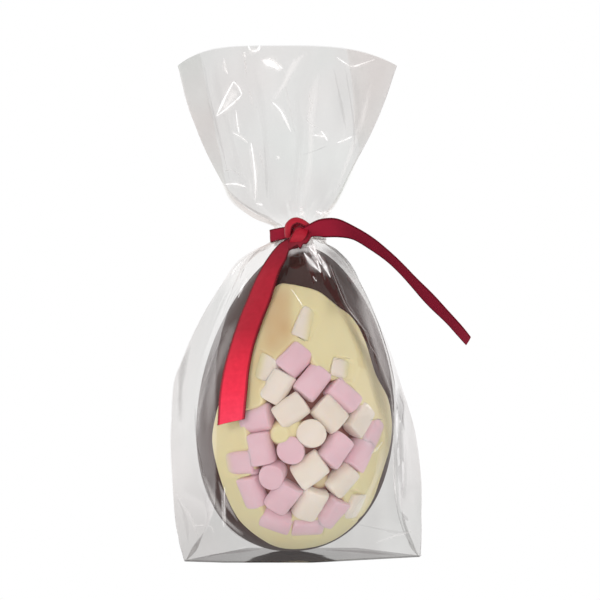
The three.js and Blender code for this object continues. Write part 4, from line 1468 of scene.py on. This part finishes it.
def white_material():
    m, nt, out = new_material("white_chocolate")
    p = node(nt, "ShaderNodeBsdfPrincipled", Roughness=0.36)
    p.inputs["Subsurface Weight"].default_value = 0.25
    p.inputs["Subsurface Radius"].default_value = (1.0, 0.7, 0.35)
    p.inputs["Subsurface Scale"].default_value = 0.0012
    co = nt.nodes.new("ShaderNodeTexCoord")
    n1 = node(nt, "ShaderNodeTexNoise", Scale=38.0, Detail=3.0, Roughness=0.55)
    nt.links.new(co.outputs["Object"], n1.inputs["Vector"])
    r = ramp(nt, [(0.28, (0.83, 0.725, 0.415, 1)), (0.72, (0.875, 0.785, 0.485, 1))])
    nt.links.new(n1.outputs["Fac"], r.inputs["Fac"])
    # deep in the gaps the colour turns dark brown: painted shade in the recesses between the marshmallows
    uv = nt.nodes.new("ShaderNodeUVMap")
    sep = nt.nodes.new("ShaderNodeSeparateXYZ")
    nt.links.new(uv.outputs["UV"], sep.inputs["Vector"])
    deep = ramp(nt, [(0.30, (0, 0, 0, 1)), (0.75, (1, 1, 1, 1))])
    nt.links.new(sep.outputs["X"], deep.inputs["Fac"])
    recess_shade_mix = nt.nodes.new("ShaderNodeMix")
    recess_shade_mix.data_type = "RGBA"
    nt.links.new(deep.outputs["Color"], recess_shade_mix.inputs["Factor"])
    # the uv's second number mixes in tan: the painted shadow of the ribbon on the white chocolate
    ribbon_shadow_tint = nt.nodes.new("ShaderNodeMix")
    ribbon_shadow_tint.data_type = "RGBA"
    nt.links.new(sep.outputs["Y"], ribbon_shadow_tint.inputs["Factor"])
    nt.links.new(r.outputs["Color"], ribbon_shadow_tint.inputs["A"])
    ribbon_shadow_tint.inputs["B"].default_value = (0.71, 0.485, 0.262, 1)
    nt.links.new(ribbon_shadow_tint.outputs["Result"], recess_shade_mix.inputs["A"])
    recess_shade_mix.inputs["B"].default_value = (0.33, 0.14, 0.115, 1)
    nt.links.new(recess_shade_mix.outputs["Result"], p.inputs["Base Color"])
    n2 = node(nt, "ShaderNodeTexNoise", Scale=140.0, Detail=3.0, Roughness=0.5)
    nt.links.new(co.outputs["Object"], n2.inputs["Vector"])
    b = node(nt, "ShaderNodeBump", Strength=0.10, Distance=0.0005)
    nt.links.new(n2.outputs["Fac"], b.inputs["Height"])
    nt.links.new(b.outputs["Normal"], p.inputs["Normal"])
    nt.links.new(p.outputs["BSDF"], out.inputs["Surface"])
    return m


def marshmallow_material(name, low, high, sss):
    m, nt, out = new_material(name)
    p = node(nt, "ShaderNodeBsdfPrincipled", Roughness=0.78)
    p.inputs["Specular IOR Level"].default_value = 0.3
    p.inputs["Subsurface Weight"].default_value = 0.45
    p.inputs["Subsurface Radius"].default_value = sss
    p.inputs["Subsurface Scale"].default_value = 0.002
    p.inputs["Sheen Weight"].default_value = 0.15
    co = nt.nodes.new("ShaderNodeTexCoord")
    n1 = node(nt, "ShaderNodeTexNoise", Scale=60.0, Detail=3.0, Roughness=0.6)
    nt.links.new(co.outputs["Object"], n1.inputs["Vector"])
    r = ramp(nt, [(0.3, low), (0.7, high)])
    nt.links.new(n1.outputs["Fac"], r.inputs["Fac"])
    # where white chocolate has run over it
    uv = nt.nodes.new("ShaderNodeUVMap")
    sep = nt.nodes.new("ShaderNodeSeparateXYZ")
    nt.links.new(uv.outputs["UV"], sep.inputs["Vector"])
    over = nt.nodes.new("ShaderNodeMix")
    over.data_type = "RGBA"
    nt.links.new(sep.outputs["X"], over.inputs["Factor"])
    nt.links.new(r.outputs["Color"], over.inputs["A"])
    over.inputs["B"].default_value = (0.86, 0.765, 0.46, 1)
    nt.links.new(over.outputs["Result"], p.inputs["Base Color"])
    n2 = node(nt, "ShaderNodeTexNoise", Scale=900.0, Detail=4.0, Roughness=0.6)
    nt.links.new(co.outputs["Object"], n2.inputs["Vector"])
    b = node(nt, "ShaderNodeBump", Strength=0.22, Distance=0.0003)
    nt.links.new(n2.outputs["Fac"], b.inputs["Height"])
    nt.links.new(b.outputs["Normal"], p.inputs["Normal"])
    nt.links.new(p.outputs["BSDF"], out.inputs["Surface"])
    return m


def film_material(name="clear_film", straight=0.80, grazing=0.70, base=0.085, shine=1.0, sharp=5.6, low=None):
    m, nt, out = new_material(name)
    lw = node(nt, "ShaderNodeLayerWeight", Blend=0.5)
    tint = ramp(nt, [
        (0.0, (straight, straight * 0.996, straight * 0.990, 1)),
        (0.55, (straight - 0.04, straight - 0.04, straight - 0.05, 1)),
        (0.84, (low, low, low, 1)),
        (1.0, (grazing, grazing, grazing, 1)),
    ] if low else [
        (0.0, (straight, straight * 0.996, straight * 0.990, 1)),
        (0.60, (straight - 0.01, straight - 0.014, straight - 0.018, 1)),
        (0.88, (straight - 0.05, straight - 0.055, straight - 0.055, 1)),
        (1.0, (grazing, grazing, grazing, 1)),
    ])
    nt.links.new(lw.outputs["Facing"], tint.inputs["Fac"])
    # the uv's first number says how dense the film is: the side folds are clearest
    uv = nt.nodes.new("ShaderNodeUVMap")
    sep = nt.nodes.new("ShaderNodeSeparateXYZ")
    nt.links.new(uv.outputs["UV"], sep.inputs["Vector"])
    fade = nt.nodes.new("ShaderNodeMix")
    fade.data_type = "RGBA"
    fade.inputs["A"].default_value = (0.994, 0.992, 0.989, 1)
    nt.links.new(sep.outputs["X"], fade.inputs["Factor"])
    nt.links.new(tint.outputs["Color"], fade.inputs["B"])
    # faint uneven tints, pinkish and greenish
    co = nt.nodes.new("ShaderNodeTexCoord")
    n0 = node(nt, "ShaderNodeTexNoise", Scale=22.0, Detail=2.0, Roughness=0.5)
    nt.links.new(co.outputs["Object"], n0.inputs["Vector"])
    hue = ramp(nt, [(0.36, (1.0, 0.988, 0.985, 1)), (0.52, (0.998, 0.996, 0.994, 1)), (0.64, (0.992, 1.0, 0.995, 1))])
    nt.links.new(n0.outputs["Fac"], hue.inputs["Fac"])
    tinted = nt.nodes.new("ShaderNodeMix")
    tinted.data_type = "RGBA"
    tinted.blend_type = "MULTIPLY"
    tinted.inputs["Factor"].default_value = 1.0
    nt.links.new(fade.outputs["Result"], tinted.inputs["A"])
    nt.links.new(hue.outputs["Color"], tinted.inputs["B"])
    clear = nt.nodes.new("ShaderNodeBsdfTransparent")
    nt.links.new(tinted.outputs["Result"], clear.inputs["Color"])
    gloss = node(nt, "ShaderNodeBsdfGlossy", Color=(shine, shine * 0.99, shine * 0.99, 1), Roughness=0.07)
    n2 = node(nt, "ShaderNodeTexNoise", Scale=55.0, Detail=2.0, Roughness=0.5)
    nt.links.new(co.outputs["Object"], n2.inputs["Vector"])
    b = node(nt, "ShaderNodeBump", Strength=0.12, Distance=0.0008)
    nt.links.new(n2.outputs["Fac"], b.inputs["Height"])
    nt.links.new(b.outputs["Normal"], gloss.inputs["Normal"])
    lw2 = node(nt, "ShaderNodeLayerWeight", Blend=0.5)
    nt.links.new(b.outputs["Normal"], lw2.inputs["Normal"])
    power = nt.nodes.new("ShaderNodeMath")
    power.operation = "POWER"
    power.inputs[1].default_value = sharp
    nt.links.new(lw2.outputs["Facing"], power.inputs[0])
    fac = node(nt, "ShaderNodeMapRange")
    fac.inputs["To Min"].default_value = base
    fac.inputs["To Max"].default_value = 1.0
    nt.links.new(power.outputs[0], fac.inputs["Value"])
    thin = node(nt, "ShaderNodeMapRange")
    thin.inputs["To Min"].default_value = base * 0.4
    thin.inputs["To Max"].default_value = base
    nt.links.new(sep.outputs["X"], thin.inputs["Value"])
    nt.links.new(thin.outputs["Result"], fac.inputs["To Min"])
    rim = node(nt, "ShaderNodeMapRange")
    rim.inputs["To Min"].default_value = 0.30
    rim.inputs["To Max"].default_value = 1.0
    rim.inputs["From Max"].default_value = 0.5
    nt.links.new(sep.outputs["X"], rim.inputs["Value"])
    nt.links.new(rim.outputs["Result"], fac.inputs["To Max"])
    mix = nt.nodes.new("ShaderNodeMixShader")
    nt.links.new(fac.outputs["Result"], mix.inputs[0])
    nt.links.new(clear.outputs[0], mix.inputs[1])
    nt.links.new(gloss.outputs[0], mix.inputs[2])
    nt.links.new(mix.outputs[0], out.inputs["Surface"])
    return m


def ribbon_material():
    m, nt, out = new_material("red_satin")
    link = nt.links.new
    p = node(nt, "ShaderNodeBsdfPrincipled", Roughness=0.46)
    p.inputs["Specular IOR Level"].default_value = 0.28
    p.inputs["Sheen Weight"].default_value = 0.04
    p.inputs["Sheen Roughness"].default_value = 0.4
    p.inputs["Sheen Tint"].default_value = (1.0, 0.45, 0.5, 1)
    uv = nt.nodes.new("ShaderNodeUVMap")
    sep = nt.nodes.new("ShaderNodeSeparateXYZ")
    link(uv.outputs["UV"], sep.inputs["Vector"])
    n1 = node(nt, "ShaderNodeTexNoise", Scale=5.0, Detail=2.0)
    link(uv.outputs["UV"], n1.inputs["Vector"])
    r = ramp(nt, [(0.25, (0.70, 0.014, 0.040, 1)), (0.75, (0.80, 0.020, 0.052, 1))])
    link(n1.outputs["Fac"], r.inputs["Fac"])
    # the back of the ribbon is dull, and its much darker colour is painted shade for the undersides that face away from
    # the light
    is_back = nt.nodes.new("ShaderNodeMath")
    is_back.operation = "GREATER_THAN"
    link(sep.outputs["Y"], is_back.inputs[0])
    is_back.inputs[1].default_value = 1.5
    gloss = node(nt, "ShaderNodeMapRange")
    gloss.inputs["To Min"].default_value = 0.28
    gloss.inputs["To Max"].default_value = 0.03
    link(is_back.outputs[0], gloss.inputs["Value"])
    link(gloss.outputs["Result"], p.inputs["Specular IOR Level"])
    halo = node(nt, "ShaderNodeMapRange")
    halo.inputs["To Min"].default_value = 0.04
    halo.inputs["To Max"].default_value = 0.0
    link(is_back.outputs[0], halo.inputs["Value"])
    link(halo.outputs["Result"], p.inputs["Sheen Weight"])
    dull = node(nt, "ShaderNodeMapRange")
    dull.inputs["To Min"].default_value = 0.46
    dull.inputs["To Max"].default_value = 0.85
    link(is_back.outputs[0], dull.inputs["Value"])
    link(dull.outputs["Result"], p.inputs["Roughness"])
    both = nt.nodes.new("ShaderNodeMix")
    both.data_type = "RGBA"
    link(is_back.outputs[0], both.inputs["Factor"])
    link(r.outputs["Color"], both.inputs["A"])
    dull_back_shade = ramp(nt, [(0.0, (0.31, 0.016, 0.036, 1)), (0.12, (0.27, 0.014, 0.032, 1)), (0.28, (0.20, 0.011, 0.027, 1)), (0.9, (0.20, 0.011, 0.027, 1)), (1.0, (0.235, 0.016, 0.034, 1))])
    link(dull_back_shade.outputs["Color"], both.inputs["B"])
    # darker woven edges
    wrapped = nt.nodes.new("ShaderNodeMath")
    wrapped.operation = "MODULO"
    link(sep.outputs["Y"], wrapped.inputs[0])
    wrapped.inputs[1].default_value = 2.0
    dist = nt.nodes.new("ShaderNodeMath")
    dist.operation = "SUBTRACT"
    link(wrapped.outputs[0], dist.inputs[0])
    dist.inputs[1].default_value = 0.5
    ab = nt.nodes.new("ShaderNodeMath")
    ab.operation = "ABSOLUTE"
    link(dist.outputs[0], ab.inputs[0])
    er = ramp(nt, [(0.0, (1, 1, 1, 1)), (0.40, (1, 1, 1, 1)), (0.435, (0.42, 0.36, 0.36, 1)), (0.46, (0.62, 0.55, 0.55, 1)), (0.49, (0.40, 0.35, 0.35, 1))])
    link(ab.outputs[0], er.inputs["Fac"])
    mul = nt.nodes.new("ShaderNodeMix")
    mul.data_type = "RGBA"
    mul.blend_type = "MULTIPLY"
    mul.inputs["Factor"].default_value = 1.0
    # painted light along the ribbon by its uv length: painted shade darkening it towards the knot, and a painted
    # pinkish highlight at the far end of the left tail
    tight = ramp(nt, [(0.0, (0.24, 0.31, 0.35, 1)), (0.13, (0.34, 0.38, 0.42, 1)), (0.24, (0.46, 0.46, 0.48, 1)), (0.52, (0.51, 0.44, 0.50, 1)), (0.70, (0.86, 0.9, 0.9, 1)), (0.82, (1.0, 1.2, 1.2, 1)), (1.0, (1.05, 2.3, 1.9, 1))])
    length = node(nt, "ShaderNodeMapRange")
    length.inputs["From Max"].default_value = 8.2
    link(sep.outputs["X"], length.inputs["Value"])
    link(length.outputs["Result"], tight.inputs["Fac"])
    link(length.outputs["Result"], dull_back_shade.inputs["Fac"])
    lit_ribbon_colour = nt.nodes.new("ShaderNodeMix")
    lit_ribbon_colour.data_type = "RGBA"
    lit_ribbon_colour.blend_type = "MULTIPLY"
    lit_ribbon_colour.inputs["Factor"].default_value = 1.0
    link(r.outputs["Color"], lit_ribbon_colour.inputs["A"])
    link(tight.outputs["Color"], lit_ribbon_colour.inputs["B"])
    link(lit_ribbon_colour.outputs["Result"], both.inputs["A"])
    link(both.outputs["Result"], mul.inputs["A"])
    # the edges' little loops, dark between
    dots = nt.nodes.new("ShaderNodeMath")
    dots.operation = "MULTIPLY"
    link(sep.outputs["X"], dots.inputs[0])
    dots.inputs[1].default_value = 52.0
    beat = nt.nodes.new("ShaderNodeMath")
    beat.operation = "SINE"
    link(dots.outputs[0], beat.inputs[0])
    part = node(nt, "ShaderNodeMapRange")
    part.inputs["From Min"].default_value = -0.6
    part.inputs["From Max"].default_value = 0.6
    link(beat.outputs[0], part.inputs["Value"])
    outer = nt.nodes.new("ShaderNodeMath")
    outer.operation = "GREATER_THAN"
    link(ab.outputs[0], outer.inputs[0])
    outer.inputs[1].default_value = 0.455
    both_on = nt.nodes.new("ShaderNodeMath")
    both_on.operation = "MULTIPLY"
    link(part.outputs["Result"], both_on.inputs[0])
    link(outer.outputs[0], both_on.inputs[1])
    loops = nt.nodes.new("ShaderNodeMix")
    loops.data_type = "RGBA"
    link(both_on.outputs[0], loops.inputs["Factor"])
    link(er.outputs["Color"], loops.inputs["A"])
    loops.inputs["B"].default_value = (0.13, 0.12, 0.13, 1)
    link(loops.outputs["Result"], mul.inputs["B"])
    link(mul.outputs["Result"], p.inputs["Base Color"])
    # fine weft lines across the strip
    w = node(nt, "ShaderNodeTexWave", Scale=22.0, Distortion=0.6, Detail=1.0)
    w.bands_direction = "X"
    link(uv.outputs["UV"], w.inputs["Vector"])
    b = node(nt, "ShaderNodeBump", Strength=0.05, Distance=0.0001)
    relief = node(nt, "ShaderNodeMapRange")
    relief.inputs["To Min"].default_value = 0.06
    relief.inputs["To Max"].default_value = 0.0
    link(is_back.outputs[0], relief.inputs["Value"])
    link(relief.outputs["Result"], b.inputs["Strength"])
    link(w.outputs["Fac"], b.inputs["Height"])
    link(b.outputs["Normal"], p.inputs["Normal"])
    link(p.outputs["BSDF"], out.inputs["Surface"])
    return m


# ---------------------------------------------------------------------------
# Build
# ---------------------------------------------------------------------------
camera = bpy.data.cameras.new("camera")
camera.sensor_width = 36.0
camera.lens = 135.0
camera.clip_start, camera.clip_end = 0.05, 20.0
cam = bpy.data.objects.new("camera", camera)
bpy.context.scene.collection.objects.link(cam)
cam.location = (CAM_X * MM, -CAM_D * MM, CAM_Z * MM)
pitch = math.atan((300.0 - HORIZON) / SCALE / CAM_D)
cam.rotation_euler = (math.pi / 2 - pitch, 0, 0)
bpy.context.scene.camera = cam

milk = make_milk()
milk.data.materials.append(milk_material())
white = make_white()
white.data.materials.append(white_material())
pink_m = make_marshmallows("pink")
pink_m.data.materials.append(
    marshmallow_material("pink_marshmallow", (0.80, 0.545, 0.605, 1), (0.865, 0.615, 0.675, 1), (1.0, 0.5, 0.55))
)
white_m = make_marshmallows("white")
white_m.data.materials.append(
    marshmallow_material("white_marshmallow", (0.83, 0.735, 0.635, 1), (0.895, 0.81, 0.73, 1), (1.0, 0.75, 0.55))
)
film, base_film = make_film()
film.data.materials.append(film_material())
base_film.data.materials.append(film_material("clear_film_base", straight=0.86, grazing=0.10, base=0.06, shine=0.62, sharp=1.6, low=0.03))
neck = make_neck()
neck.data.materials.append(gathered_material())
# the strips of painted highlight and painted shade on the film
creases = make_painted_light_strips(film)
creases.data.materials.append(painted_light_material())
base_edge = make_base_edge()
base_edge.data.materials.append(film_material("clear_film_edge", straight=0.66, grazing=0.45, base=0.06))
ribbon = make_ribbon()
satin = ribbon_material()
for o in ribbon:
    o.data.materials.append(satin)

for o, s in (
    (milk, "milk_chocolate"),
    (white, "white_chocolate"),
    (pink_m, "pink_marshmallow"),
    (white_m, "white_marshmallow"),
    (film, "clear_film"),
    (base_film, "clear_film"),
    (neck, "clear_film"),
    (creases, "clear_film"),
    (base_edge, "clear_film"),
):
    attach(o, "root")
    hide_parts("bag")
for o in ribbon:
    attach(o, "root")
    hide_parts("ribbon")

# floor
floor = mesh_object("floor", np.array([[-4000, -4000, 0], [4000, -4000, 0], [4000, 6000, 0], [-4000, 6000, 0]]), np.array([[0, 1, 2, 3]]), smooth_shade=False)
fm, fnt, fout = new_material("floor_white")
fp = node(fnt, "ShaderNodeBsdfDiffuse", Color=(0.30, 0.30, 0.30, 1))
fe = node(fnt, "ShaderNodeEmission", Color=(1, 1, 1, 1), Strength=1.0)
fl = fnt.nodes.new("ShaderNodeLightPath")
fa = fnt.nodes.new("ShaderNodeMixShader")
fnt.links.new(fl.outputs["Is Camera Ray"], fa.inputs[0])
fg = node(fnt, "ShaderNodeEmission", Color=(1, 1, 1, 1), Strength=0.8)
# what the film mirrors of it follows the backdrop: dim towards the camera, bright behind
fc = fnt.nodes.new("ShaderNodeTexCoord")
fsep = fnt.nodes.new("ShaderNodeSeparateXYZ")
fnt.links.new(fc.outputs["Object"], fsep.inputs["Vector"])
fmr = node(fnt, "ShaderNodeMapRange")
fmr.inputs["From Min"].default_value = -0.5
fmr.inputs["From Max"].default_value = 0.5
fnt.links.new(fsep.outputs["Y"], fmr.inputs["Value"])
fcr = ramp(fnt, [(0.0, (0.16, 0.16, 0.16, 1)), (0.38, (0.34, 0.34, 0.34, 1)), (0.5, (0.62, 0.62, 0.62, 1)), (0.75, (1.05, 1.04, 1.04, 1)), (1.0, (1.2, 1.19, 1.19, 1))])
fnt.links.new(fmr.outputs["Result"], fcr.inputs["Fac"])
fq = node(fnt, "ShaderNodeEmission", Strength=1.0)
fnt.links.new(fcr.outputs["Color"], fq.inputs["Color"])
fs = fnt.nodes.new("ShaderNodeAddShader")
fnt.links.new(fp.outputs[0], fs.inputs[0])
fnt.links.new(fg.outputs[0], fs.inputs[1])
fw = fnt.nodes.new("ShaderNodeMixShader")
fnt.links.new(fl.outputs["Is Glossy Ray"], fw.inputs[0])
fnt.links.new(fs.outputs[0], fw.inputs[1])
fnt.links.new(fq.outputs[0], fw.inputs[2])
fnt.links.new(fw.outputs[0], fa.inputs[1])
fnt.links.new(fe.outputs[0], fa.inputs[2])
fnt.links.new(fa.outputs[0], fout.inputs["Surface"])
floor.data.materials.append(fm)


# lights: soft ones that model the contents, and narrow ones that only glint
def area(name, loc, target, sx, sy, radiance, color=(1, 1, 1), diffuse=True, glossy=True):
    d = bpy.data.lights.new(name, "AREA")
    d.shape = "RECTANGLE"
    d.size, d.size_y = sx, sy
    d.energy = radiance * math.pi * sx * sy
    d.color = color
    o = bpy.data.objects.new(name, d)
    bpy.context.scene.collection.objects.link(o)
    o.location = loc
    v = Vector(target) - Vector(loc)
    o.rotation_euler = v.to_track_quat("-Z", "Y").to_euler()
    o.visible_diffuse = diffuse
    o.visible_glossy = glossy
    o.visible_camera = False
    return o


area("key_left", (-0.85, -0.85, 0.60), (0, 0, 0.09), 0.35, 0.35, 7.6, glossy=False)
area("fill_right", (0.75, -0.85, 0.12), (0, 0, 0.07), 0.5, 0.4, 3.3, glossy=False)
area("front", (0.0, -1.3, 0.20), (0, 0, 0.08), 0.5, 0.4, 3.95, glossy=False)
area("glint_left", (-1.0, -0.25, 0.35), (0, 0, 0.12), 0.16, 0.8, 0.9, diffuse=False)

world = bpy.data.worlds.new("studio")
bpy.context.scene.world = world
world.use_nodes = True
wn = world.node_tree
wn.nodes.clear()
wo = wn.nodes.new("ShaderNodeOutputWorld")
bg_cam = node(wn, "ShaderNodeBackground", Color=(1, 1, 1, 1), Strength=1.0)
bg_soft = node(wn, "ShaderNodeBackground", Color=(1, 1, 1, 1), Strength=0.80)
bg_env = node(wn, "ShaderNodeBackground", Strength=1.0)
lp = wn.nodes.new("ShaderNodeLightPath")
tc = wn.nodes.new("ShaderNodeTexCoord")
sp = wn.nodes.new("ShaderNodeSeparateXYZ")
wn.links.new(tc.outputs["Generated"], sp.inputs["Vector"])
mr = node(wn, "ShaderNodeMapRange")
mr.inputs["From Min"].default_value = -1.0
mr.inputs["From Max"].default_value = 1.0
wn.links.new(sp.outputs["Y"], mr.inputs["Value"])
# what the film mirrors: dark on the camera's side and overhead, bright at the sides and behind
cr = ramp(wn, [(0.0, (0.08, 0.08, 0.085, 1)), (0.18, (0.14, 0.14, 0.145, 1)), (0.42, (0.70, 0.69, 0.69, 1)), (0.62, (1.0, 0.98, 0.98, 1)), (1.0, (0.9, 0.9, 0.9, 1))])
wn.links.new(mr.outputs["Result"], cr.inputs["Fac"])
mz = node(wn, "ShaderNodeMapRange")
mz.inputs["From Min"].default_value = 0.15
mz.inputs["From Max"].default_value = 0.75
mz.inputs["To Min"].default_value = 1.35
mz.inputs["To Max"].default_value = 0.45
wn.links.new(sp.outputs["Z"], mz.inputs["Value"])
wn.links.new(cr.outputs["Color"], bg_env.inputs["Color"])
wn.links.new(mz.outputs["Result"], bg_env.inputs["Strength"])
wg = wn.nodes.new("ShaderNodeMixShader")
wn.links.new(lp.outputs["Is Glossy Ray"], wg.inputs[0])
wn.links.new(bg_soft.outputs[0], wg.inputs[1])
wn.links.new(bg_env.outputs[0], wg.inputs[2])
wm = wn.nodes.new("ShaderNodeMixShader")
wn.links.new(lp.outputs["Is Camera Ray"], wm.inputs[0])
wn.links.new(wg.outputs[0], wm.inputs[1])
wn.links.new(bg_cam.outputs[0], wm.inputs[2])
wn.links.new(wm.outputs[0], wo.inputs["Surface"])

bpy.context.scene.view_settings.view_transform = "Standard"
bpy.context.scene.cycles.transparent_max_bounces = 32
